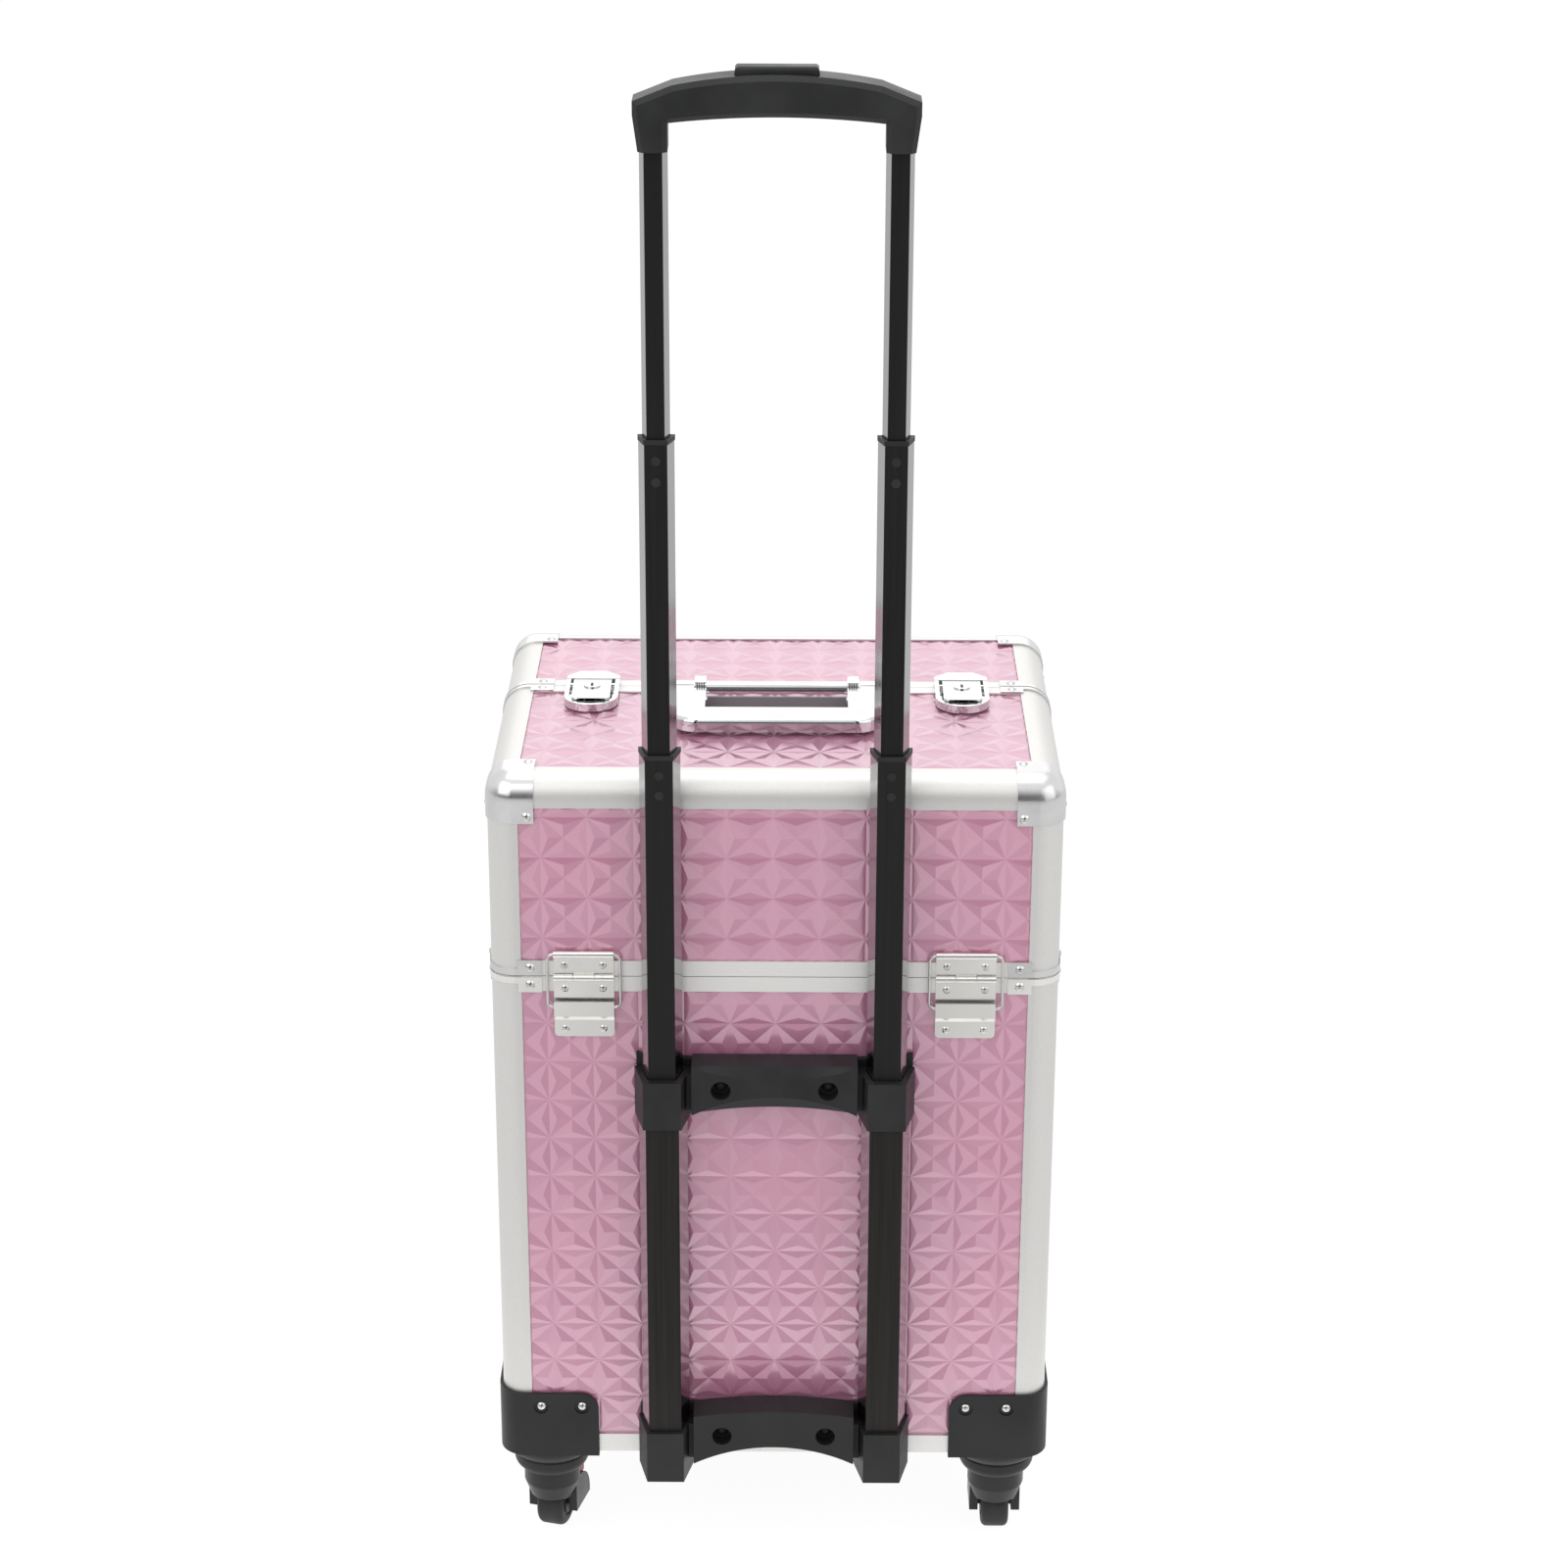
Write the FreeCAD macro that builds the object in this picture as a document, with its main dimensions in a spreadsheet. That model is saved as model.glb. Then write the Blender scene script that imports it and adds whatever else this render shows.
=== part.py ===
# Rolling makeup train case: two-lid aluminium-framed case on casters with a telescopic trolley handle.
# Millimetres, +Z up, origin on the floor under the middle of the whole object, trolley on the -Y side.
import FreeCAD
import Part
import os
import re
import Sketcher

DIMENSIONS = {
    # case
    "case_width": 360, "case_depth": 280, "case_height": 482, "floor_gap": 78, "seam_height": 348,
    "seam_split": 26, "seam_gap": 0.5,
    # boards and aluminium extrusions
    "board": 5, "lip": 1, "edge_size": 20, "edge_round": 16, "edge_wall": 2, "rail_height": 10.25,
    "rail_web": 2, "rail_leg": 1.5, "trim_leg": 13,
    # steel corner caps and seam clips
    "cap_reach": 30, "cap_steel": 1.2, "clip_reach": 33, "clip_steel": 1, "clip_height": 10.4,
    "clip_inset": 0.6, "strap_height": 4.4, "strap_reach": 18, "rivet_radius": 3, "rivet_height": 1.3,
    "clip_rivet_inset": 25.5, "cap_rivet_margin": 1.5,
    # hinges
    "hinge_x": 120.5, "leaf_width": 38, "leaf_steel": 1.2, "leaf_tail": 41.5, "leaf_rise": 16,
    "knuckle_offset": 2.6, "knuckle_radius": 2.2, "knuckle_half": 6.5, "pin_radius": 1.2,
    "pin_play": 0.05, "joint_gap": 0.4, "loop_offset": 2.4, "loop_wire": 0.9, "loop_play": 0.3,
    "loop_half": 23, "loop_drop": 20.5, "loop_corner": 4, "tongue_gap": 2.6, "tongue_low": 30,
    "tongue_high": 16, "tongue_ramp": 4, "tongue_inner_ramp": 4.7, "tongue_root": 2.1, "curl_wall": 1,
    "leaf_back_gap": 0.3, "leaf_corner": 3, "leaf_tail_screw": 5.5, "front_screw_drop": 9, "leaf_screw": 2.4,
    "leaf_screw_tall": 0.9, "leaf_screw_x": 12,
    # latches
    "latch_x": 121, "latch_width": 35, "latch_rear": 49, "latch_front": 15, "latch_tall": 5,
    "latch_floor": 0.6, "latch_rim": 3, "lever_width": 25, "lever_length": 33, "lever_plate": 2,
    "lever_pin": 1.2, "lever_barrel": 2.1, "lever_stub": 3.5, "lever_pin_y": 8, "lever_pin_z": 3.5,
    "lever_low": 4.5, "lever_nose": 2.2, "lever_corner": 4, "lock_radius": 5.5, "lock_tall": 0.8,
    "lock_y": 9, "keyway_half": 0.8, "keyway_length": 6, "keyway_deep": 0.4, "catch_bevel": 9,
    # carry handle on the rear lid
    "bail_half": 68, "bail_reach": 67, "bail_leg": 14, "bail_bar": 23, "bail_thick": 8.7, "bail_low": 2,
    "bail_corner": 18, "bail_edge": 3, "bail_eye": 4.9, "bail_pivot_y": 23, "bail_pivot_z": 7.5,
    "bail_pin": 2.5, "bail_shaft": 4, "bail_side_gap": 0.6, "bail_notch": 0.9, "bail_base_rear": 14.5,
    "bail_base_wall": 2, "bail_base_tall": 6.6, "bail_base_edge": 0.6, "lug_foot": 1.2, "lug_foot_lap": 2,
    "lug_width": 7.5, "lug_radius": 8, "lug_groove": 0.9, "lug_groove_y": 5.6, "lug_groove_z": 2.4,
    "trunnion_inset": 1,
    # trolley
    "trolley_reach": 29, "tube_x": 71, "tube_plane": 16, "outer_width": 31, "outer_depth": 20,
    "outer_bevel": 4.9, "outer_wall": 1.5, "first_width": 25.4, "first_depth": 16, "first_bevel": 4.1,
    "first_wall": 1.3, "second_width": 21.5, "second_depth": 12.5, "second_bevel": 3.9,
    "second_wall": 1.1, "third_width": 16.6, "third_depth": 9.5, "third_bevel": 2.9, "third_wall": 1,
    "tube_lip": 1.5, "outer_top": 284, "first_top": 504.5, "second_top": 703.5, "third_top": 877,
    "first_foot": 240, "second_foot": 464, "third_foot": 667, "collar_rim": 2, "collar_skirt": 1,
    "collar_wall": 0.4, "slide_play": 0.3, "nub_radius": 2.9, "nub_play": 0.1, "nub_first": 11,
    "nub_second": 24, "nub_proud": 0.25, "overshoot": 1,
    # trolley brackets: ends and middles of their waisted edges
    "socket_width": 36.5, "socket_bevel": 6.2, "socket_floor": 2, "bracket_face": 24, "bracket_plate": 3,
    "bracket_half": 88, "bridge_half": 52.5, "bow_depth": 3.4, "upper_low": 254, "upper_high": 287,
    "upper_plate_low": 256, "upper_plate_low_mid": 260, "upper_plate_high": 295.5,
    "upper_plate_high_mid": 290, "upper_bridge_low": 262, "upper_bridge_high": 295.5,
    "upper_face_low_mid": 275, "upper_face_high_mid": 287, "upper_bridge_low_mid": 267, "lower_low": -5.5,
    "lower_high": 31, "lower_plate_low": 2, "lower_plate_low_mid": 14, "lower_plate_high": 38,
    "lower_plate_high_mid": 40.5, "lower_bridge_low": 5.5, "lower_bridge_low_mid": 18.3,
    "lower_bridge_high": 41, "lower_bridge_high_mid": 45, "upper_screw_z": 279.5, "lower_screw_z": 26.5,
    "web_depth": 16, "screw_x": 34, "screw_recess": 6.4, "screw_head": 4.4, "screw_sink": 9, "screw_tall": 2.5,
    # trolley grip
    "grip_half": 82.5, "grip_depth": 26, "grip_top": 921, "grip_shoulder": 915, "grip_shoulder_x": 60,
    "grip_corner": 906, "grip_cheek": 8, "grip_under": 897, "grip_under_end": 893.5, "grip_inner": 62.4,
    "grip_leg_half": 8.6, "grip_edge": 3, "button_half": 24, "button_depth": 13, "button_tall": 13,
    "button_proud": 4, "button_travel": 3.5, "button_play": 0.3, "button_edge": 2.5,
    # corner shoes and casters
    "shoe_reach": 64, "shoe_wall": 2.2, "shoe_high": 44.7, "shoe_floor": 2.5, "shoe_round": 12,
    "shoe_clear": 0.1, "caster_inset": 30, "cup_radius": 25, "cup_round": 7, "cup_neck": 13,
    "cup_drop": 26, "cup_groove": 2, "cup_groove_deep": 0.8, "swell_inset": 0.3, "shoe_rivet_z": 34.5,
    "shoe_rivet_first": 26, "shoe_rivet_second": 53, "shoe_recess": 4.8, "shoe_recess_deep": 1.1,
    "stem_radius": 5, "stem_play": 0.08, "stem_tall": 22, "stem_end_gap": 1, "swivel_gap": 0.6,
    "fork_radius": 18.8, "hood_low": 28, "hood_foot": 14.5, "hood_waist": 40, "fork_skirt": 29,
    "fork_cheek": 4, "wheel_radius": 17, "wheel_width": 18.5, "wheel_side_gap": 2, "wheel_top_gap": 2.5,
    "wheel_edge": 4, "wheel_trail": 7, "axle_radius": 2.4, "axle_play": 0.06, "hub_radius": 8,
    "hub_sink": 1.5, "hub_groove": 1.5, "left_swivel": -15, "guard_radius": 21, "guard_half": 17,
    "guard_low": 14, "insert_half": 15, "insert_y": 8, "insert_deep": 14, "insert_low": 34,
    "insert_high": 44,
    # trays and their arms
    "tray_half": 165.5, "tray_wall": 2, "tray_tall": 38, "tray_front": 124, "tray_split": 21,
    "tray_gap": 4, "tray_back": -124, "tray_low": 362, "tray_high": 402, "arm_plane": 168.6,
    "arm_steel": 1.5, "arm_half": 4.5, "arm_lean": 45, "arm_first": 45, "arm_second": 100,
    "arm_base_z": 335, "arm_fore_y": 124, "arm_aft_y": 99, "arm_pin": 2, "arm_pin_proud": 0.8,
    "arm_pin_end": 0.5, "arm_play": 0.05, "arm_loose": 0.9,
}

doc = FreeCAD.newDocument("makeup_train_case")
sheet = doc.addObject("Spreadsheet::Sheet", "dims")
for row, (alias, size) in enumerate(DIMENSIONS.items(), start=1):
    sheet.set(f"A{row}", alias)
    sheet.set(f"B{row}", str(size))
    sheet.setAlias(f"B{row}", alias)
doc.recompute()

# Places that many pieces share, as formulas on the sheet
CENTRE = "((trolley_reach - knuckle_offset - knuckle_radius) / 2)"
BACK = f"({CENTRE} - case_depth / 2)"
FRONT = f"({CENTRE} + case_depth / 2)"
SPLIT = f"({CENTRE} + seam_split)"
SIDE = "(case_width / 2)"
BASE = "floor_gap"
SEAM = "(floor_gap + seam_height)"
TOP = "(floor_gap + case_height)"
HALF_GAP = "(seam_gap / 2)"
TUBE_Y = f"({BACK} - tube_plane)"
WORDS = re.compile(r"\b(" + "|".join(DIMENSIONS) + r")\b")
nodes = []


# Formulas and placing
def ref(text):
    return WORDS.sub(lambda word: "dims." + word.group(0), str(text))


def number(text):
    return float(sheet.evalExpression(ref(text)))


def bind(piece, name, text):
    piece.setExpression(name, ref(text))


def place(piece, x, y, z):
    for axis, text in zip("xyz", (x, y, z)):
        bind(piece, "Placement.Base." + axis, text)
    return piece


def turn(piece, axis, degrees):
    piece.Placement = FreeCAD.Placement(FreeCAD.Vector(), FreeCAD.Rotation(FreeCAD.Vector(*axis), degrees))
    return piece


def aim(piece, direction):
    turns = {"+x": ((0, 1, 0), 90), "-x": ((0, 1, 0), -90), "+y": ((1, 0, 0), -90), "-y": ((1, 0, 0), 90),
             "+z": ((1, 0, 0), 0), "-z": ((1, 0, 0), 180)}
    return turn(piece, *turns[direction])


# Part primitives and booleans
def block(x, y, z):
    box = doc.addObject("Part::Box", "block")
    for name, (low, high) in zip(("Length", "Width", "Height"), (x, y, z)):
        bind(box, name, f"({high}) - ({low})")
    return place(box, x[0], y[0], z[0])


def rod(radius, length, direction, x, y, z):
    cylinder = aim(doc.addObject("Part::Cylinder", "rod"), direction)
    bind(cylinder, "Radius", radius)
    bind(cylinder, "Height", length)
    return place(cylinder, x, y, z)


def dome(direction, x, y, z, radius="rivet_radius", height="rivet_height"):
    # a cap of a ball standing on the point x, y, z
    ball_radius = f"((({radius}) ^ 2 + ({height}) ^ 2) / (2 * ({height})))"
    ball = aim(doc.addObject("Part::Sphere", "dome"), direction)
    bind(ball, "Radius", ball_radius)
    bind(ball, "Angle1", f"asin(1 - ({height}) / {ball_radius})")
    ball.Angle2 = 90
    spot = [x, y, z]
    index = "xyz".index(direction[1])
    spot[index] = f"({spot[index]}) {direction[0]} (({height}) - {ball_radius})"
    return place(ball, *spot)


def fuse(*pieces):
    whole = doc.addObject("Part::MultiFuse", "fuse")
    whole.Shapes = pieces
    return whole


def cut(base, *tools):
    result = doc.addObject("Part::Cut", "cut")
    result.Base = base
    result.Tool = tools[0] if len(tools) == 1 else fuse(*tools)
    return result


def common(first, second):
    result = doc.addObject("Part::Common", "common")
    result.Base = first
    result.Tool = second
    return result


def mirrored(piece):
    copy = doc.addObject("Part::Mirroring", "mirror")
    copy.Source = piece
    copy.Normal = (1, 0, 0)
    return copy


def both(pieces):
    return [side for piece in pieces for side in (piece, mirrored(piece))]


def node(name, *pieces):
    if len(pieces) == 1:
        whole = pieces[0]
    else:
        whole = doc.addObject("Part::Compound", name)
        whole.Links = pieces
    whole.Label = name
    nodes.append(whole)
    return whole


# PartDesign bodies
def origin_plane(body, role):
    return next(plane for plane in body.Origin.OriginFeatures if plane.Role == role)


def arc_between(start, end, centre):
    # the shorter arc from start to end, and whether it runs counter-clockwise
    first = FreeCAD.Vector(start[0] - centre[0], start[1] - centre[1], 0)
    last = FreeCAD.Vector(end[0] - centre[0], end[1] - centre[1], 0)
    forward = first.cross(last).z > 0
    axis = FreeCAD.Vector(1, 0, 0)
    angles = []
    for spoke in (first, last):
        angle = axis.getAngle(spoke)
        angles.append(angle if spoke.y >= 0 else -angle)
    circle = Part.Circle(FreeCAD.Vector(*centre, 0), FreeCAD.Vector(0, 0, 1), first.Length)
    if forward:
        return Part.ArcOfCircle(circle, angles[0], angles[1]), True
    return Part.ArcOfCircle(circle, angles[1], angles[0]), False


def outline(body, role, points):
    # points are (u, v) formulas; a third entry (u, v, radius) makes the stretch to the next point an arc
    sketch = body.newObject("Sketcher::SketchObject", "outline")
    sketch.AttachmentSupport = (origin_plane(body, role), [""])
    sketch.MapMode = "FlatFace"
    spots = [(number(point[0]), number(point[1])) for point in points]
    ends = []
    for index, point in enumerate(points):
        start, end = spots[index], spots[(index + 1) % len(spots)]
        if len(point) == 2:
            line = Part.LineSegment(FreeCAD.Vector(*start, 0), FreeCAD.Vector(*end, 0))
            ends.append((sketch.addGeometry(line), 1, 2))
            continue
        curve, forward = arc_between(start, end, (number(point[2][0]), number(point[2][1])))
        curve_id = sketch.addGeometry(curve)
        ends.append((curve_id, 1, 2) if forward else (curve_id, 2, 1))
    for index, (curve_id, _, last) in enumerate(ends):
        next_id, next_first, _ = ends[(index + 1) % len(ends)]
        sketch.addConstraint(Sketcher.Constraint("Coincident", curve_id, last, next_id, next_first))
    for (curve_id, first, _), point, spot in zip(ends, points, spots):
        for kind, value, text in (("DistanceX", spot[0], point[0]), ("DistanceY", spot[1], point[1])):
            entry = sketch.addConstraint(Sketcher.Constraint(kind, curve_id, first, value))
            sketch.setExpression(f"Constraints[{entry}]", ref(text))
        if len(point) == 3:
            entry = sketch.addConstraint(Sketcher.Constraint("Radius", curve_id, number(point[2][2])))
            sketch.setExpression(f"Constraints[{entry}]", ref(point[2][2]))
    return sketch


def prism(axis, points, low, high):
    # an outline across the axis, padded from low to high along it
    body = doc.addObject("PartDesign::Body", "prism")
    sketch = outline(body, {"x": "YZ_Plane", "y": "XZ_Plane", "z": "XY_Plane"}[axis], points)
    pad = body.newObject("PartDesign::Pad", "pad")
    pad.Profile = sketch
    bind(pad, "Length", f"({high}) - ({low})")
    sketch.Visibility = False
    bind(body, "Placement.Base." + axis, high if axis == "y" else low)
    return body


def turned(axis, points):
    # an outline in X and Z revolved about the sketch's own H_Axis or V_Axis
    body = doc.addObject("PartDesign::Body", "turned")
    sketch = outline(body, "XZ_Plane", points)
    revolution = body.newObject("PartDesign::Revolution", "revolution")
    revolution.Profile = sketch
    revolution.ReferenceAxis = (sketch, [axis])
    revolution.Angle = 360
    sketch.Visibility = False
    return body


def sides_of(edge, box):
    middle = edge.CenterOfMass
    sides = set()
    for axis in "xyz":
        low, high = getattr(box, axis.upper() + "Min"), getattr(box, axis.upper() + "Max")
        spot = getattr(middle, axis)
        if abs(spot - low) < 0.01:
            sides.add(axis + "-")
        if abs(spot - high) < 0.01:
            sides.add(axis + "+")
    return sides


def round_edges(body, radius, wanted):
    # fillets the edges that lie on both named sides of the body's box, such as ("x-", "z+")
    doc.recompute()
    base = body.Tip
    box = base.Shape.BoundBox
    names = [f"Edge{index}" for index, edge in enumerate(base.Shape.Edges, start=1)
             if any(set(pair) <= sides_of(edge, box) for pair in wanted)]
    fillet = body.newObject("PartDesign::Fillet", "fillet")
    fillet.Base = (base, names)
    bind(fillet, "Radius", radius)
    body.Tip = fillet
    return body


def bevel_rim(body, size, low):
    # chamfers the edges across Y whose middles lie above a height
    doc.recompute()
    base = body.Tip
    names = [f"Edge{index}" for index, edge in enumerate(base.Shape.Edges, start=1)
             if edge.CenterOfMass.z > number(low) and edge.BoundBox.YLength < 0.01]
    chamfer = body.newObject("PartDesign::Chamfer", "chamfer")
    chamfer.Base = (base, names)
    bind(chamfer, "Size", size)
    body.Tip = chamfer
    return body


def rounded_block(x, y, z, radius, wanted):
    body = doc.addObject("PartDesign::Body", "rounded_block")
    box = body.newObject("PartDesign::AdditiveBox", "box")
    for name, (low, high) in zip(("Length", "Width", "Height"), (x, y, z)):
        bind(box, name, f"({high}) - ({low})")
    body.Tip = box
    place(body, x[0], y[0], z[0])
    return round_edges(body, radius, wanted)


def face_span(end, outward, inward):
    # a low-high pair across the case's back (end -1) or front (end +1) face
    face = BACK if end < 0 else FRONT
    return (f"{face} - ({outward})", f"{face} + ({inward})") if end < 0 else \
           (f"{face} - ({inward})", f"{face} + ({outward})")


# Boards
def boards():
    wide = (f"-{SIDE} + edge_round", f"{SIDE} - edge_round")
    walls = (f"{BASE} + lip", f"{SEAM} - {HALF_GAP} - rail_web")
    node("lower_back_panel", block(wide, (f"{BACK} + lip", f"{BACK} + lip + board"), walls))
    node("lower_front_panel", block(wide, (f"{FRONT} - lip - board", f"{FRONT} - lip"), walls))
    across = (f"{SIDE} - lip - board", f"{SIDE} - lip")
    depth = (f"{BACK} + edge_round", f"{FRONT} - edge_round")
    node("lower_side_panels", *both([block(across, depth, walls)]))
    floor = (f"{BASE} + lip", f"{BASE} + lip + board")
    node("bottom_panel", fuse(
        block(wide, (f"{BACK} + lip + board", f"{FRONT} - lip - board"), floor),
        block((f"-{SIDE} + lip + board", f"{SIDE} - lip - board"), depth, floor)))
    lid_walls = (f"{SEAM} + {HALF_GAP} + rail_web", f"{TOP} - edge_round")
    lid_top = (f"{TOP} - lip - board", f"{TOP} - lip")
    rear = (f"{BACK} + edge_round", f"{SPLIT} - {HALF_GAP} - rail_web")
    front = (f"{SPLIT} + {HALF_GAP} + rail_web", f"{FRONT} - edge_round")
    node("rear_lid_back_panel", block(wide, (f"{BACK} + lip", f"{BACK} + lip + board"), lid_walls))
    node("front_lid_front_panel", block(wide, (f"{FRONT} - lip - board", f"{FRONT} - lip"), lid_walls))
    for name, lid_depth in (("rear", rear), ("front", front)):
        node(f"{name}_lid_top_panel", block(wide, lid_depth, lid_top))
        node(f"{name}_lid_side_panels", *both([block(across, lid_depth, lid_walls)]))


# Aluminium extrusions
def edge_outline(corner_u, inward_u, corner_v, inward_v):
    # a quarter-round edge profile with a lip over each board; inward is "+" or "-"
    def spot(along_u, along_v):
        return f"{corner_u} {inward_u} ({along_u})", f"{corner_v} {inward_v} ({along_v})"

    middle = spot("edge_round", "edge_round")
    return [
        spot("edge_size", 0),
        (*spot("edge_round", 0), (*middle, "edge_round")),
        spot(0, "edge_round"),
        spot(0, "edge_size"),
        spot("lip", "edge_size"),
        spot("lip", "edge_round"),
        (*spot("edge_wall", "edge_round"), (*middle, "edge_round - edge_wall")),
        spot("edge_round", "edge_wall"),
        spot("edge_round", "lip"),
        spot("edge_size", "lip"),
    ]


def corner_post(end, low, high):
    corner_y, inward_y = (BACK, "+") if end < 0 else (FRONT, "-")
    return prism("z", edge_outline(SIDE, "-", corner_y, inward_y), low, high)


def extrusions():
    node("lower_corner_posts", *both([corner_post(end, BASE, f"{SEAM} - {HALF_GAP}") for end in (-1, 1)]))
    wide = (f"-{SIDE} + edge_size", f"{SIDE} - edge_size")
    deep = (f"{BACK} + edge_size", f"{FRONT} - edge_size")
    trims = []
    for end in (-1, 1):
        angle = block(wide, face_span(end, 0, "trim_leg"), (BASE, f"{BASE} + trim_leg"))
        room = block(wide, face_span(end, "-lip", "trim_leg"), (f"{BASE} + lip", f"{BASE} + trim_leg"))
        trims.append(cut(angle, room))
    side_angle = block((f"{SIDE} - trim_leg", SIDE), deep, (BASE, f"{BASE} + trim_leg"))
    side_room = block((f"{SIDE} - trim_leg", f"{SIDE} - lip"), deep, (f"{BASE} + lip", f"{BASE} + trim_leg"))
    node("bottom_edge_trims", *trims, *both([cut(side_angle, side_room)]))
    for name, end in (("rear", -1), ("front", 1)):
        corner_y, inward_y = (BACK, "+") if end < 0 else (FRONT, "-")
        across = prism("x", edge_outline(corner_y, inward_y, TOP, "-"), *wide)
        run = (deep[0], f"{SPLIT} - {HALF_GAP}") if end < 0 else (f"{SPLIT} + {HALF_GAP}", deep[1])
        along = prism("y", edge_outline(SIDE, "-", TOP, "-"), *run)
        post = corner_post(end, f"{SEAM} + {HALF_GAP}", f"{TOP} - edge_size")
        node(f"{name}_lid_edge_trims", across, *both([along, post]))


def channel(outer, slot):
    # a rail: its outside box less the slot that takes the board
    return cut(block(*outer), block(*slot))


def rails():
    wide = (f"-{SIDE} + edge_size", f"{SIDE} - edge_size")
    thick = "(lip + board + rail_leg)"
    side_thick, side_slot = (f"{SIDE} - {thick}", SIDE), (f"{SIDE} - lip - board", f"{SIDE} - lip")
    lower = (f"{SEAM} - {HALF_GAP} - rail_height", f"{SEAM} - {HALF_GAP}")
    lower_slot = (lower[0], f"{lower[1]} - rail_web")
    upper = (f"{SEAM} + {HALF_GAP}", f"{SEAM} + {HALF_GAP} + rail_height")
    upper_slot = (f"{upper[0]} + rail_web", upper[1])
    deep = (f"{BACK} + edge_size", f"{FRONT} - edge_size")

    def face_rail(end, height, slot):
        return channel((wide, face_span(end, 0, thick), height),
                       (wide, face_span(end, "-lip", "lip + board"), slot))

    node("lower_rim_rails", *[face_rail(end, lower, lower_slot) for end in (-1, 1)],
         *both([channel((side_thick, deep, lower), (side_slot, deep, lower_slot))]))
    for name, end in (("rear", -1), ("front", 1)):
        if end < 0:
            run = (deep[0], f"{SPLIT} - {HALF_GAP}")
            seam = (f"{run[1]} - rail_height", run[1])
            seam_slot = (seam[0], f"{seam[1]} - rail_web")
        else:
            run = (f"{SPLIT} + {HALF_GAP}", deep[1])
            seam = (run[0], f"{run[0]} + rail_height")
            seam_slot = (f"{seam[0]} + rail_web", seam[1])
        top_rail = channel((wide, seam, (f"{TOP} - {thick}", TOP)),
                           (wide, seam_slot, (f"{TOP} - lip - board", f"{TOP} - lip")))
        stile = (upper[1], f"{TOP} - edge_size")
        node(f"{name}_lid_rails", face_rail(end, upper, upper_slot), top_rail,
             *both([channel((side_thick, run, upper), (side_slot, run, upper_slot)),
                    channel((side_thick, seam, stile), (side_slot, seam_slot, stile))]))


# Pressed steel corner caps and seam clips
def pressed(x, y, z, steel, round_radius, wanted, grown):
    # a sheet wrapped over rounded edges; grown says which sides of the box lie outside the case
    inner = []
    outer = []
    for axis, (low, high) in zip("xyz", (x, y, z)):
        below, above = axis + "-" in grown, axis + "+" in grown
        outer.append((f"{low} - {steel}" if below else low, f"{high} + {steel}" if above else high))
        inner.append((low if below else f"{low} - {steel}", high if above else f"{high} + {steel}"))
    return cut(rounded_block(*outer, f"{round_radius} + {steel}", wanted),
               rounded_block(*inner, round_radius, wanted))


def corner_cap(end):
    side_y = "y-" if end < 0 else "y+"
    return pressed((f"{SIDE} - cap_reach", SIDE), face_span(end, 0, "cap_reach"), (f"{TOP} - cap_reach", TOP),
                   "cap_steel", "edge_round", (("x+", side_y), ("x+", "z+"), (side_y, "z+")),
                   {"x+", side_y, "z+"})


def post_clip(end, z, spare):
    # spare is the height range that is cut away round the corner, leaving the narrow strap
    side_y = "y-" if end < 0 else "y+"
    sheet_metal = pressed((f"{SIDE} - clip_reach", SIDE), face_span(end, 0, "clip_reach"), z,
                          "clip_steel", "edge_round", (("x+", side_y),), {"x+", side_y})
    return cut(sheet_metal, block((f"{SIDE} - strap_reach", f"{SIDE} + 2 * clip_steel"),
                                  face_span(end, "2 * clip_steel", "strap_reach"), spare))


def top_clip(y, spare):
    sheet_metal = pressed((f"{SIDE} - clip_reach", SIDE), y, (f"{TOP} - clip_reach", TOP),
                          "clip_steel", "edge_round", (("x+", "z+"),), {"x+", "z+"})
    return cut(sheet_metal, block((f"{SIDE} - strap_reach", f"{SIDE} + 2 * clip_steel"), spare,
                                  (f"{TOP} - strap_reach", f"{TOP} + 2 * clip_steel")))


LOWER_CLIP = (f"{SEAM} - clip_inset - clip_height", f"{SEAM} - clip_inset")
UPPER_CLIP = (f"{SEAM} + clip_inset", f"{SEAM} + clip_inset + clip_height")
REAR_CLIP = (f"{SPLIT} - clip_inset - clip_height", f"{SPLIT} - clip_inset")
FRONT_CLIP = (f"{SPLIT} + clip_inset", f"{SPLIT} + clip_inset + clip_height")


def beyond_strap(clip, seam_at_top):
    # the part of a clip's height range past its strap, which runs along the seam
    return (clip[0], f"{clip[1]} - strap_height") if seam_at_top else (f"{clip[0]} + strap_height", clip[1])


def middle_of(pair):
    return f"(({pair[0]}) + ({pair[1]})) / 2"


def clip_rivets(end, z):
    face_y = f"{BACK} - clip_steel" if end < 0 else f"{FRONT} + clip_steel"
    side_y = f"{BACK} + clip_rivet_inset" if end < 0 else f"{FRONT} - clip_rivet_inset"
    return [dome("-y" if end < 0 else "+y", f"{SIDE} - clip_rivet_inset", face_y, middle_of(z)),
            dome("+x", f"{SIDE} + clip_steel", side_y, middle_of(z))]


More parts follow.
